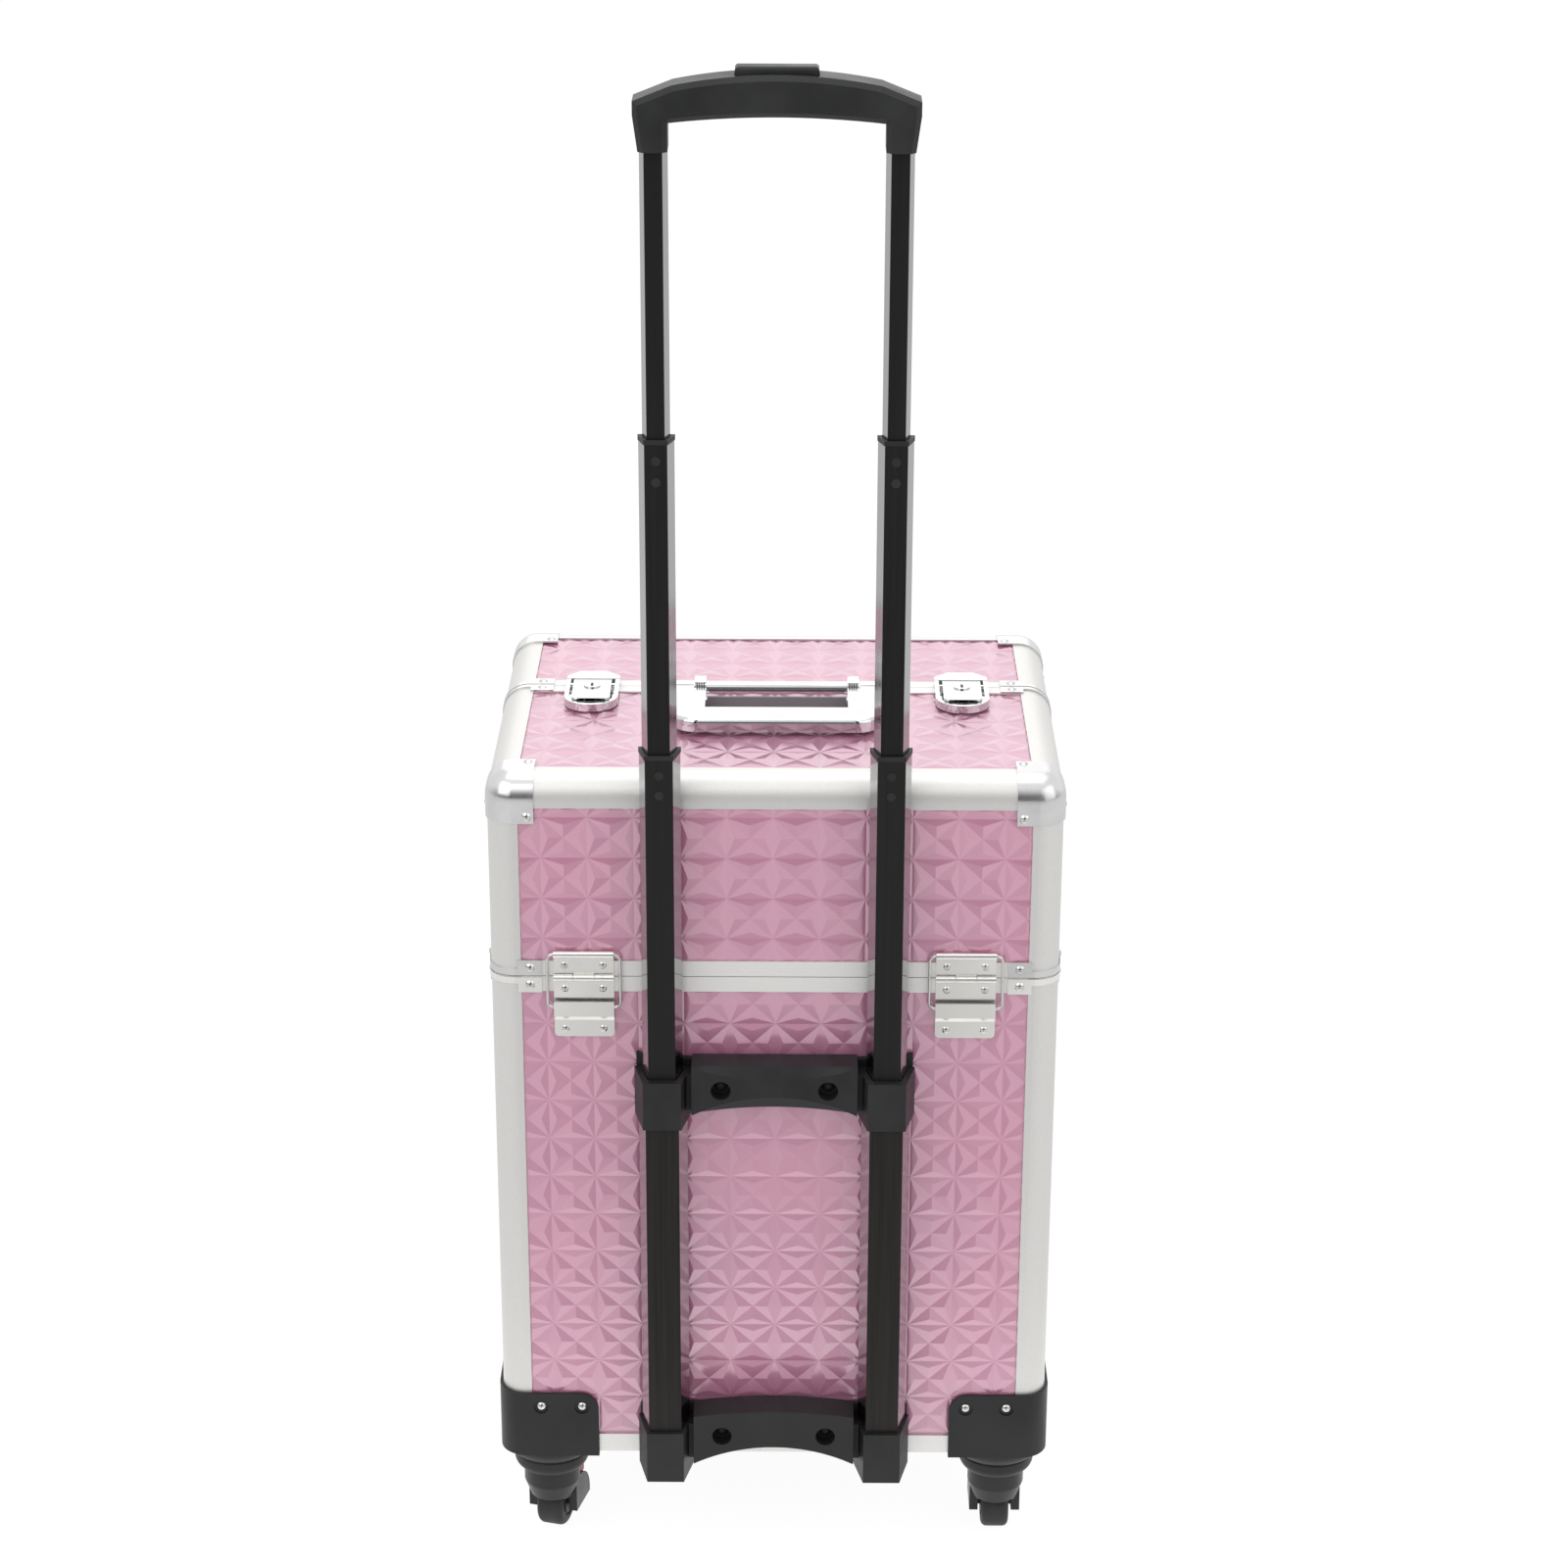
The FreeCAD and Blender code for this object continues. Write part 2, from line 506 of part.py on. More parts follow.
def fittings():
    lower_spare, upper_spare = beyond_strap(LOWER_CLIP, True), beyond_strap(UPPER_CLIP, False)
    node("lower_rim_clips", *both([post_clip(end, LOWER_CLIP, lower_spare) for end in (-1, 1)]))
    for name, end, seam in (("rear", -1, REAR_CLIP), ("front", 1, FRONT_CLIP)):
        node(f"{name}_lid_corner_fittings", *both([corner_cap(end), post_clip(end, UPPER_CLIP, upper_spare),
                                                   top_clip(seam, beyond_strap(seam, end < 0))]))
        inset = "(cap_reach - rivet_radius - cap_rivet_margin)"
        inset_x = f"{SIDE} - {inset}"
        inset_y = f"{BACK} + {inset}" if end < 0 else f"{FRONT} - {inset}"
        inset_z = f"{TOP} - {inset}"
        face_y = f"{BACK} - cap_steel" if end < 0 else f"{FRONT} + cap_steel"
        cap_rivets = [dome("-y" if end < 0 else "+y", inset_x, face_y, inset_z),
                      dome("+x", f"{SIDE} + cap_steel", inset_y, inset_z),
                      dome("+z", inset_x, inset_y, f"{TOP} + cap_steel")]
        seam_rivets = [dome("+z", f"{SIDE} - clip_rivet_inset", middle_of(seam), f"{TOP} + clip_steel"),
                       dome("+x", f"{SIDE} + clip_steel", middle_of(seam), f"{TOP} - clip_rivet_inset")]
        leaf_rivets = leaf_screws(end, "leaf_rise / 2", "+")
        post_rivets = clip_rivets(end, UPPER_CLIP)
        node(f"{name}_lid_rivets", *both(cap_rivets + post_rivets + seam_rivets + leaf_rivets))


# Hinges: two at the back with stop loops, two at the front
def outward(end, distance):
    return f"{BACK} - ({distance})" if end < 0 else f"{FRONT} + ({distance})"


def out_pair(end, low, high):
    pair = (outward(end, low), outward(end, high))
    return pair if end > 0 else (pair[1], pair[0])


def lower_leaf(end):
    wide = ("hinge_x - leaf_width / 2", "hinge_x + leaf_width / 2")
    clear = "(knuckle_radius + joint_gap)"
    if end < 0:
        lifted = "(leaf_steel + tongue_gap)"
        profile = [("0", "leaf_tail"), ("leaf_steel", "leaf_tail"), ("leaf_steel", "tongue_low"),
                   (f"{lifted} + leaf_steel", "tongue_low - tongue_ramp"),
                   (f"{lifted} + leaf_steel", "tongue_high"),
                   (lifted, "tongue_high"), (lifted, "tongue_low - tongue_inner_ramp"),
                   ("leaf_steel", "tongue_low - tongue_root"),
                   ("leaf_steel", clear), ("0", clear)]
    else:
        profile = [("0", "leaf_rise"), ("leaf_steel", "leaf_rise"), ("leaf_steel", clear), ("0", clear)]
    plate = prism("x", [(outward(end, away), f"{SEAM} - ({down})") for away, down in profile], *wide)
    round_edges(plate, "leaf_corner", (("x-", "z-"), ("x+", "z-")))
    axis_y = outward(end, "knuckle_offset")
    solid = [plate]
    for low, high in ((wide[0], "hinge_x - knuckle_half - joint_gap"),
                      ("hinge_x + knuckle_half + joint_gap", wide[1])):
        solid.append(rod("knuckle_radius", f"({high}) - ({low})", "+x", low, axis_y, SEAM))
        solid.append(block((low, high), out_pair(end, "0", "leaf_steel"),
                           (f"{SEAM} - {clear}", f"{SEAM} - leaf_back_gap")))
    return cut(fuse(*solid), rod("pin_radius", "leaf_width", "+x", wide[0], axis_y, SEAM))


def upper_leaf(end):
    wide = ("hinge_x - leaf_width / 2", "hinge_x + leaf_width / 2")
    middle = ("hinge_x - knuckle_half", "hinge_x + knuckle_half")
    clear = "(knuckle_radius + joint_gap)"
    thick, axis_y = out_pair(end, "0", "leaf_steel"), outward(end, "knuckle_offset")
    solid = [block(wide, thick, (f"{SEAM} + {clear}", f"{SEAM} + leaf_rise")),
             block(middle, thick, (f"{SEAM} + leaf_back_gap", f"{SEAM} + {clear}")),
             rod("knuckle_radius", "2 * knuckle_half", "+x", middle[0], axis_y, SEAM)]
    bores = [rod("pin_radius + pin_play", "2 * knuckle_half", "+x", middle[0], axis_y, SEAM)]
    if end < 0:
        curl = (outward(end, "loop_offset"), f"{SEAM} + leaf_rise")
        solid.append(rod("loop_wire + loop_play + curl_wall", "leaf_width", "+x", wide[0], *curl))
        bores.append(rod("loop_wire + loop_play", "leaf_width", "+x", wide[0], *curl))
    return cut(fuse(*solid), *bores)


def leaf_screws(end, drop, side_of_seam):
    return [dome("-y" if end < 0 else "+y", f"hinge_x {side} leaf_screw_x", outward(end, "leaf_steel"),
                 f"{SEAM} {side_of_seam} ({drop})", "leaf_screw", "leaf_screw_tall") for side in "-+"]


def stop_loop():
    # a closed wire loop through the upper leaf's curl and behind the lower leaf's tongue
    body = place(doc.addObject("PartDesign::Body", "stop_loop"), "hinge_x", outward(-1, "loop_offset"), SEAM)
    low, high = "-loop_drop", "leaf_rise"
    side, inset = "loop_half", "(loop_half - loop_corner)"
    over, under = f"({high} - loop_corner)", f"({low} + loop_corner)"
    path_points = [
        ("0", high), (inset, high, (inset, over, "loop_corner")), (side, over),
        (side, under, (inset, under, "loop_corner")), (inset, low),
        (f"-{inset}", low, (f"-{inset}", under, "loop_corner")), (f"-{side}", under),
        (f"-{side}", over, (f"-{inset}", over, "loop_corner")), (f"-{inset}", high)]
    path = outline(body, "XZ_Plane", path_points)
    section = body.newObject("Sketcher::SketchObject", "section")
    section.AttachmentSupport = (origin_plane(body, "YZ_Plane"), [""])
    section.MapMode = "FlatFace"
    centre, normal = FreeCAD.Vector(0, number(high), 0), FreeCAD.Vector(0, 0, 1)
    section.addGeometry(Part.Circle(centre, normal, number("loop_wire")))
    section.addConstraint(Sketcher.Constraint("PointOnObject", 0, 3, -2))
    for kind, text in (("DistanceY", high), ("Radius", "loop_wire")):
        where = (0, 3) if kind == "DistanceY" else (0,)
        entry = section.addConstraint(Sketcher.Constraint(kind, *where, number(text)))
        section.setExpression(f"Constraints[{entry}]", ref(text))
    doc.recompute()
    pipe = body.newObject("PartDesign::AdditivePipe", "wire")
    pipe.Profile = section
    pipe.Spine = (path, [f"Edge{index}" for index in range(1, len(path_points) + 1)])
    return body


def hinges():
    node("hinge_lower_leaves", *both([lower_leaf(end) for end in (-1, 1)]))
    node("hinge_pins", *both([rod("pin_radius", "leaf_width", "+x", "hinge_x - leaf_width / 2",
                                  outward(end, "knuckle_offset"), SEAM) for end in (-1, 1)]))
    node("rear_hinge_upper_leaves", *both([upper_leaf(-1)]))
    node("front_hinge_upper_leaves", *both([upper_leaf(1)]))
    node("rear_stop_loops", *both([stop_loop()]))


# Latches on the top, split at the seam
def latch_base():
    half, rear = "latch_width / 2", f"{SPLIT} - latch_rear"
    front = f"{SPLIT} - {HALF_GAP}"
    bend = f"{rear} + latch_width / 2"

    def tub(shrink):
        left, right = f"latch_x - {half} + {shrink}", f"latch_x + {half} - {shrink}"
        arc = ("latch_x", bend, f"{half} - {shrink}")
        return [(left, front), (left, bend, arc), ("latch_x", f"{rear} + {shrink}", arc), (right, bend),
                (right, front)]

    shell = prism("z", tub("0"), TOP, f"{TOP} + latch_tall")
    hollow = prism("z", tub("latch_rim"), f"{TOP} + latch_floor", f"{TOP} + latch_tall")
    hole = rod("lever_pin + pin_play", "latch_width", "+x", f"latch_x - {half}", f"{SPLIT} - lever_pin_y",
               f"{TOP} + lever_pin_z")
    return cut(shell, hollow, hole)


def latch_lever(sign):
    half = "lever_width / 2"
    centre = "latch_x" if sign > 0 else "-latch_x"
    pin_y, pin_z = f"{SPLIT} - lever_pin_y", f"{TOP} + lever_pin_z"
    plate_top = f"{TOP} + lever_low + lever_plate"
    plate = rounded_block((f"{centre} - {half}", f"{centre} + {half}"),
                          (f"{pin_y} - lever_length", f"{pin_y} + lever_nose"),
                          (f"{TOP} + lever_low", plate_top), "lever_corner", (("x-", "y-"), ("x+", "y-")))
    barrel = rod("lever_barrel", "lever_width", "+x", f"{centre} - {half}", pin_y, pin_z)
    stub = rod("lever_pin", "lever_width + 2 * lever_stub", "+x", f"{centre} - {half} - lever_stub",
               pin_y, pin_z)
    boss = rod("lock_radius", "lock_tall", "+z", centre, f"{pin_y} - lock_y", plate_top)
    keyway = block((f"{centre} - keyway_half", f"{centre} + keyway_half"),
                   (f"{pin_y} - lock_y - keyway_length / 2", f"{pin_y} - lock_y + keyway_length / 2"),
                   (f"{plate_top} - keyway_deep", f"{plate_top} + lock_tall"))
    return cut(fuse(plate, barrel, stub, boss), keyway)


def latches():
    half, narrow = "latch_width / 2", "(latch_width / 2 - catch_bevel)"
    start, end = f"{SPLIT} + {HALF_GAP}", f"{SPLIT} + latch_front"
    catch = prism("z", [(f"latch_x - {half}", start), (f"latch_x - {half}", f"{end} - catch_bevel"),
                        (f"latch_x - {narrow}", end), (f"latch_x + {narrow}", end),
                        (f"latch_x + {half}", f"{end} - catch_bevel"), (f"latch_x + {half}", start)],
                  TOP, f"{TOP} + latch_tall")
    node("latch_base_plates", *both([latch_base()]))
    node("latch_catch_plates", *both([catch]))
    node("latch_lever_left", latch_lever(-1))
    node("latch_lever_right", latch_lever(1))


# Carry handle lying on the rear lid
def carry_handle():
    pivot_y, pivot_z = f"{SPLIT} - bail_pivot_y", f"{TOP} + bail_pivot_z"
    inner = "(bail_half - bail_leg)"
    lug_x = f"({inner} - bail_side_gap - lug_width)"
    rear = f"{pivot_y} - bail_reach"
    bend_x, bend_y = "(bail_half - bail_corner)", f"({rear} + bail_corner)"
    bar = f"{rear} + bail_bar"
    bail = prism("z", [(f"-{lug_x}", pivot_y), (f"-{lug_x}", bar), (lug_x, bar), (lug_x, pivot_y),
                       ("bail_half", pivot_y),
                       ("bail_half", bend_y, (bend_x, bend_y, "bail_corner")), (bend_x, rear),
                       (f"-{bend_x}", rear, (f"-{bend_x}", bend_y, "bail_corner")), ("-bail_half", bend_y),
                       ("-bail_half", pivot_y)], f"{TOP} + bail_low", f"{TOP} + bail_low + bail_thick")
    round_edges(bail, "bail_edge", (("y-", "z+"), ("x-", "z+"), ("x+", "z+")))
    eyes = both([rod("bail_eye", "bail_leg", "+x", inner, pivot_y, pivot_z)])
    bores = both([rod("bail_pin + pin_play", "bail_leg", "+x", inner, pivot_y, pivot_z)])
    notches = both([block((f"{lug_x} - overshoot", inner),
                          (f"{pivot_y} - lug_radius - bail_notch", f"{pivot_y} + overshoot"),
                          (TOP, f"{TOP} + 2 * bail_thick"))])
    node("carry_handle_grip", cut(fuse(bail, *eyes), *notches, *bores))
    wall_end, lug_end = f"({lug_x} - bail_side_gap)", f"{lug_x} + lug_width"
    rear_y = f"{pivot_y} - bail_base_rear"
    wall = rounded_block((f"-{wall_end}", wall_end), (rear_y, f"{rear_y} + bail_base_wall"),
                         (f"{TOP} - lip", f"{TOP} + bail_base_tall"), "bail_base_edge",
                         (("y-", "z+"), ("y+", "z+")))
    lug_foot = block((f"{lug_x} - lug_foot_lap", lug_end), (rear_y, pivot_y),
                     (f"{TOP} - lip", f"{TOP} + lug_foot"))
    shaft = rod("bail_shaft", f"2 * {lug_x}", "+x", f"-{lug_x}", pivot_y, pivot_z)
    lug_post = block((lug_x, lug_end), (f"{pivot_y} - lug_radius", f"{pivot_y} + lug_radius"),
                     (f"{TOP} - lip", pivot_z))
    grooves = [block((f"{lug_x} + {fifth} / 5 * lug_width - lug_groove / 2",
                      f"{lug_x} + {fifth} / 5 * lug_width + lug_groove / 2"),
                     (f"{pivot_y} - 2 * lug_radius", f"{pivot_y} - lug_groove_y"),
                     (f"{pivot_z} + lug_groove_z", f"{pivot_z} + lug_radius")) for fifth in range(1, 5)]
    lug_eye = cut(rod("lug_radius", "lug_width", "+x", lug_x, pivot_y, pivot_z), *grooves)
    trunnion = rod("bail_pin", "lug_width + bail_side_gap + bail_leg - trunnion_inset", "+x", lug_x,
                   pivot_y, pivot_z)
    node("carry_handle_base", fuse(wall, shaft, *both([lug_foot, lug_post, lug_eye, trunnion])))


# Trolley
def section(width, depth, bevel, low, high):
    # a tube's outline: flat front, sides that spread towards the case, a short straight lip at the rear
    half_x, half_y = f"({width}) / 2", f"({depth}) / 2"
    front_x = f"({half_x} - ({bevel}))"
    corners = ((half_x, half_y), (half_x, f"{half_y} - tube_lip"), (front_x, f"-({half_y})"),
               (f"-{front_x}", f"-({half_y})"), (f"-({half_x})", f"{half_y} - tube_lip"),
               (f"-({half_x})", half_y))
    points = [(f"tube_x + ({x})", f"{TUBE_Y} + ({y})") for x, y in corners]
    return prism("z", points, f"{BASE} + ({low})", f"{BASE} + ({high})")


def around(name, room, low, high):
    # a tube's own outline grown by some room on every side
    return section(f"{name}_width + 2 * ({room})", f"{name}_depth + 2 * ({room})", f"{name}_bevel", low, high)


def tube(name, low, high):
    return cut(around(name, 0, low, high), around(name, f"-{name}_wall", low, high))


def nub(name, drop, radius, proud):
    face = f"{TUBE_Y} - {name}_depth / 2"
    return rod(radius, f"{name}_wall + {proud}", "-y", "tube_x", f"{face} + {name}_wall",
               f"{BASE} + {name}_top - {drop}")


def collar(name, inside):
    top, foot, rim = f"{name}_top", f"{name}_top - collar_skirt", f"{name}_top + collar_rim"
    return cut(around(name, "collar_wall", foot, rim), around(name, 0, foot, top),
               around(inside, "slide_play", top, rim))


def stages():
    node("trolley_outer_tubes", *both([tube("outer", "lower_low + socket_floor", "outer_top")]))
    for name, inside in (("first", "second"), ("second", "third")):
        drops = ("nub_first", "nub_second")
        holes = [nub(name, drop, "nub_radius + nub_play", "overshoot") for drop in drops]
        node(f"trolley_{name}_stage_tubes", *both([cut(tube(name, f"{name}_foot", f"{name}_top"), *holes)]))
        node(f"trolley_{name}_stage_collars",
             *both([collar(name, inside)] + [nub(name, drop, "nub_radius", "nub_proud") for drop in drops]))
    node("trolley_third_stage_tubes", *both([tube("third", "third_foot", "third_top")]))


def socket(low, high):
    # a sleeve round the outer tube, spreading towards the plate on the case
    half, face, plate = "socket_width / 2", f"{BACK} - trolley_reach", f"{BACK} - bracket_plate"
    front = f"({half} - socket_bevel)"
    return prism("z", [(f"tube_x - {half}", plate), (f"tube_x - {front}", face), (f"tube_x + {front}", face),
                       (f"tube_x + {half}", plate)], f"{BASE} + {low}", f"{BASE} + {high}")


def waist(half, low_end, low_mid, high_end, high_mid):
    # an outline whose top and bottom edges are arcs through their middle points, or straight if level
    def spot(x, z, end, mid):
        point = (x, f"{BASE} + ({z})")
        if number(end) == number(mid):
            return point
        rise = f"abs(({end}) - ({mid}))"
        radius = f"((({half}) ^ 2 + ({rise}) ^ 2) / (2 * ({rise})))"
        side = 1 if number(end) > number(mid) else -1
        return (*point, ("0", f"{BASE} + ({mid}) + {side} * {radius}", radius))

    return [spot(f"-({half})", low_end, low_end, low_mid), spot(half, low_end, 0, 0),
            spot(half, high_end, high_end, high_mid), spot(f"-({half})", high_end, 0, 0)]


def bowed_face(front, rear, y, depth):
    # a layer whose front outline flows into its rear outline
    body = doc.addObject("PartDesign::Body", "bowed_face")
    face, back = outline(body, "XZ_Plane", front), outline(body, "XZ_Plane", rear)
    bind(back, "AttachmentOffset.Base.z", f"-({depth})")
    doc.recompute()
    loft = body.newObject("PartDesign::AdditiveLoft", "loft")
    loft.Profile = face
    loft.Sections = [back]
    loft.Ruled = True
    bind(body, "Placement.Base.y", y)
    return body


def screw_recess(z):
    return rod("screw_recess", "screw_sink", "+y", "screw_x", f"{BACK} - bracket_face", f"{BASE} + {z}")


def bracket_screw(z):
    seat = f"{BACK} - bracket_face + screw_sink"
    return dome("-y", "screw_x", seat, f"{BASE} + {z}", "screw_head", "screw_tall")


def bracket_web(low, high):
    # closes the groove between the bridge and a socket
    return block(("bridge_half - overshoot", "tube_x - socket_width / 2 + socket_bevel"),
                 (f"{BACK} - web_depth", f"{BACK} - bracket_plate"), (f"{BASE} + {low}", f"{BASE} + {high}"))


def brackets():
    plate_y = (f"{BACK} - bracket_plate", BACK)
    face_y = f"{BACK} - bracket_face"
    upper_plate = waist("bracket_half", "upper_plate_low", "upper_plate_low_mid",
                        "upper_plate_high", "upper_plate_high_mid")
    upper_face = waist("bridge_half", "upper_bridge_low", "upper_face_low_mid",
                       "upper_bridge_high", "upper_face_high_mid")
    upper_bridge = waist("bridge_half", "upper_bridge_low", "upper_bridge_low_mid",
                         "upper_bridge_high", "upper_bridge_high")
    upper = fuse(*both([socket("upper_low", "upper_high"), bracket_web("upper_bridge_low", "upper_high")]),
                 prism("y", upper_plate, plate_y[0], f"{BACK} + lip"),
                 bowed_face(upper_face, upper_bridge, face_y, "bow_depth"),
                 prism("y", upper_bridge, f"{face_y} + bow_depth", plate_y[0]))
    sleeve = around("outer", 0, "upper_low", "outer_top")
    throat = around("first", "slide_play", "outer_top", "upper_bridge_high")
    node("trolley_upper_bracket", cut(upper, *both([sleeve, throat, screw_recess("upper_screw_z")])))
    lower_plate = waist("bracket_half", "lower_plate_low", "lower_plate_low_mid",
                        "lower_plate_high", "lower_plate_high_mid")
    lower_bridge = waist("bridge_half", "lower_bridge_low", "lower_bridge_low_mid",
                         "lower_bridge_high", "lower_bridge_high_mid")
    lower = fuse(*both([socket("lower_low", "lower_high"), bracket_web("lower_bridge_low", "lower_high")]),
                 prism("y", lower_plate, *plate_y), prism("y", lower_bridge, face_y, plate_y[0]))
    foot = around("outer", 0, "lower_low + socket_floor", "lower_bridge_high_mid")
    node("trolley_lower_bracket", cut(lower, *both([foot, screw_recess("lower_screw_z")])))


def grip():
    deep = (f"{TUBE_Y} - grip_depth / 2", f"{TUBE_Y} + grip_depth / 2")

    def spot(x, z):
        return x, f"{BASE} + ({z})"

    def arch(half, end, mid):
        rise = f"(({mid}) - ({end}))"
        radius = f"((({half}) ^ 2 + {rise} ^ 2) / (2 * {rise}))"
        return "0", f"{BASE} + ({mid}) - {radius}", radius

    leg_out, cheek = "(tube_x + grip_leg_half)", "grip_corner - grip_cheek"
    points = [spot(f"-{leg_out}", "third_top"), spot("-grip_half", cheek), spot("-grip_half", "grip_corner"),
              (*spot("-grip_shoulder_x", "grip_shoulder"),
               arch("grip_shoulder_x", "grip_shoulder", "grip_top")),
              spot("grip_shoulder_x", "grip_shoulder"), spot("grip_half", "grip_corner"),
              spot("grip_half", cheek), spot(leg_out, "third_top"), spot("grip_inner", "third_top"),
              (*spot("grip_inner", "grip_under_end"), arch("grip_inner", "grip_under_end", "grip_under")),
              spot("-grip_inner", "grip_under_end"), spot("-grip_inner", "third_top")]
    handle = bevel_rim(prism("y", points, *deep), "grip_edge", f"{BASE} + third_top + overshoot")
    button_top = f"{BASE} + grip_top + button_proud"
    well = block(("-button_half - button_play", "button_half + button_play"),
                 (f"{TUBE_Y} - button_depth / 2 - button_play", f"{TUBE_Y} + button_depth / 2 + button_play"),
                 (f"{button_top} - button_tall - button_travel - overshoot", f"{button_top} + overshoot"))
    node("trolley_grip", cut(handle, well))
    node("grip_release_button", rounded_block(
        ("-button_half", "button_half"), (f"{TUBE_Y} - button_depth / 2", f"{TUBE_Y} + button_depth / 2"),
        (f"{button_top} - button_tall", button_top), "button_edge",
        (("x-", "z+"), ("x+", "z+"), ("y-", "z+"), ("y+", "z+"))))


# Corner shoes and casters
SHOE_WRAP = "(shoe_wall + shoe_clear)"


def caster_spot(end):
    inset = "caster_inset"
    return f"{SIDE} - {inset}", f"{BACK} + {inset}" if end < 0 else f"{FRONT} - {inset}"


def shoe(end):
    # a moulded corner wrapped round the case, swelling below into the cup that holds the caster's stem
    side_y, inner_y = ("y-", "y+") if end < 0 else ("y+", "y-")
    outer = rounded_block((f"{SIDE} - shoe_reach", f"{SIDE} + {SHOE_WRAP}"),
                          face_span(end, SHOE_WRAP, "shoe_reach"),
                          (f"{BASE} - shoe_floor", f"{BASE} + shoe_high"),
                          f"edge_round + {SHOE_WRAP}", (("x+", side_y),))
    round_edges(outer, "shoe_round", (("x-", "z+"), (inner_y, "z+")))
    inner = rounded_block((f"{SIDE} - 2 * shoe_reach", f"{SIDE} + shoe_clear"),
                          face_span(end, "shoe_clear", "2 * shoe_reach"), (BASE, f"{BASE} + 2 * shoe_high"),
                          "edge_round + shoe_clear", (("x+", side_y),))
    x, y = caster_spot(end)
    swell = f"(caster_inset + {SHOE_WRAP} - swell_inset)"
    bulge = f"((({swell}) ^ 2 - cup_radius ^ 2 - (cup_neck - shoe_floor) ^ 2) / (2 * ({swell} - cup_radius)))"
    bend, foot = "(cup_drop - cup_round)", "cup_radius - cup_round"
    cup = turned("V_Axis", [
        ("0", "-cup_drop"), (foot, "-cup_drop", (foot, f"-{bend}", "cup_round")), ("cup_radius", f"-{bend}"),
        ("cup_radius", "-cup_neck - cup_groove"),
        ("cup_radius - cup_groove_deep", "-cup_neck - cup_groove / 2"),
        ("cup_radius", "-cup_neck", (bulge, "-shoe_floor", f"{swell} - {bulge}")), (swell, "-shoe_floor"),
        (swell, "0"), ("0", "0")])
    place(cup, x, y, BASE)
    bore = rod("stem_radius + stem_play", "stem_tall + stem_end_gap", "+z", x, y, f"{BASE} - cup_drop")
    recesses = [rod("shoe_recess", "shoe_recess_deep", direction, *spot)
                for direction, spot in shoe_rivet_spots(end)]
    return cut(fuse(outer, cup), inner, bore, *recesses)


def shoe_rivet_spots(end):
    # where the rivets sit, and the direction into the shoe
    height = f"{BASE} + shoe_rivet_z"
    spots = []
    for inset in ("shoe_rivet_first", "shoe_rivet_second"):
        face = f"{BACK} - {SHOE_WRAP}" if end < 0 else f"{FRONT} + {SHOE_WRAP}"
        side_y = f"{BACK} + {inset}" if end < 0 else f"{FRONT} - {inset}"
        spots.append(("+y" if end < 0 else "-y", (f"{SIDE} - {inset}", face, height)))
        spots.append(("-x", (f"{SIDE} + {SHOE_WRAP}", side_y, height)))
    return spots


def shoe_rivets(end):
    heads = []
    for direction, (x, y, z) in shoe_rivet_spots(end):
        if direction == "-x":
            heads.append(dome("+x", f"{x} - shoe_recess_deep", y, z))
        else:
            heads.append(dome("-y" if end < 0 else "+y", x, f"{y} {direction[0]} shoe_recess_deep", z))
    return heads


def caster(side, row, swivel):
    # fork with its stem, axle and wheel; built on the swivel axis, then turned to the swivel at rest
    spot_x, spot_y = caster_spot(-1 if row == "rear" else 1)
    if side == "left":
        spot_x = f"-({spot_x})"

    def seated(piece, ahead="0", height="0"):
        turn(piece, (0, 0, 1), number(swivel) or 1e-6)
        bind(piece, "Placement.Rotation.Angle", swivel)
        return place(piece, f"{spot_x} - {ahead} * sin({swivel})", f"{spot_y} + {ahead} * cos({swivel})",
                     height)

    def on_axle(radius, half):
        return rod(radius, f"2 * {half}", "+x", f"-{half}", "wheel_trail", "wheel_radius")

    top = f"({BASE} - cup_drop - swivel_gap)"
    inside = "(wheel_width / 2 + wheel_side_gap)"
    reach = f"({inside} + fork_cheek)"
    hood = turned("V_Axis", [("0", "hood_low"), ("hood_foot", "hood_low"), ("fork_radius", "hood_waist"),
                             ("fork_radius", top), ("0", top)])
    guard = common(on_axle("guard_radius", "guard_half"),
                   block(("-guard_half", "guard_half"), ("0", "2 * guard_radius"), ("guard_low", top)))
    stem = rod("stem_radius", "stem_tall + swivel_gap - stem_end_gap", "+z", "0", "0", top)
    slot = block((f"-{inside}", inside), ("-2 * fork_radius", "2 * fork_radius"), ("0", "fork_skirt"))
    fork = cut(fuse(hood, guard, stem), on_axle("wheel_radius + wheel_top_gap", inside), slot,
               on_axle("axle_radius", reach))
    axle = turned("H_Axis", [(f"-{reach}", "0"), (reach, "0"), (reach, "axle_radius"),
                             (f"-{reach}", "axle_radius")])
    tab = block(("-insert_half", "insert_half"), ("insert_y", "insert_y + insert_deep"),
                ("insert_low", "insert_high"))
    node(f"caster_fork_{row}_{side}", seated(fork), seated(axle, "wheel_trail", "wheel_radius"),
         seated(cut(tab, hood, guard)))
    node(f"caster_wheel_{row}_{side}", seated(wheel(), "wheel_trail", "wheel_radius"))


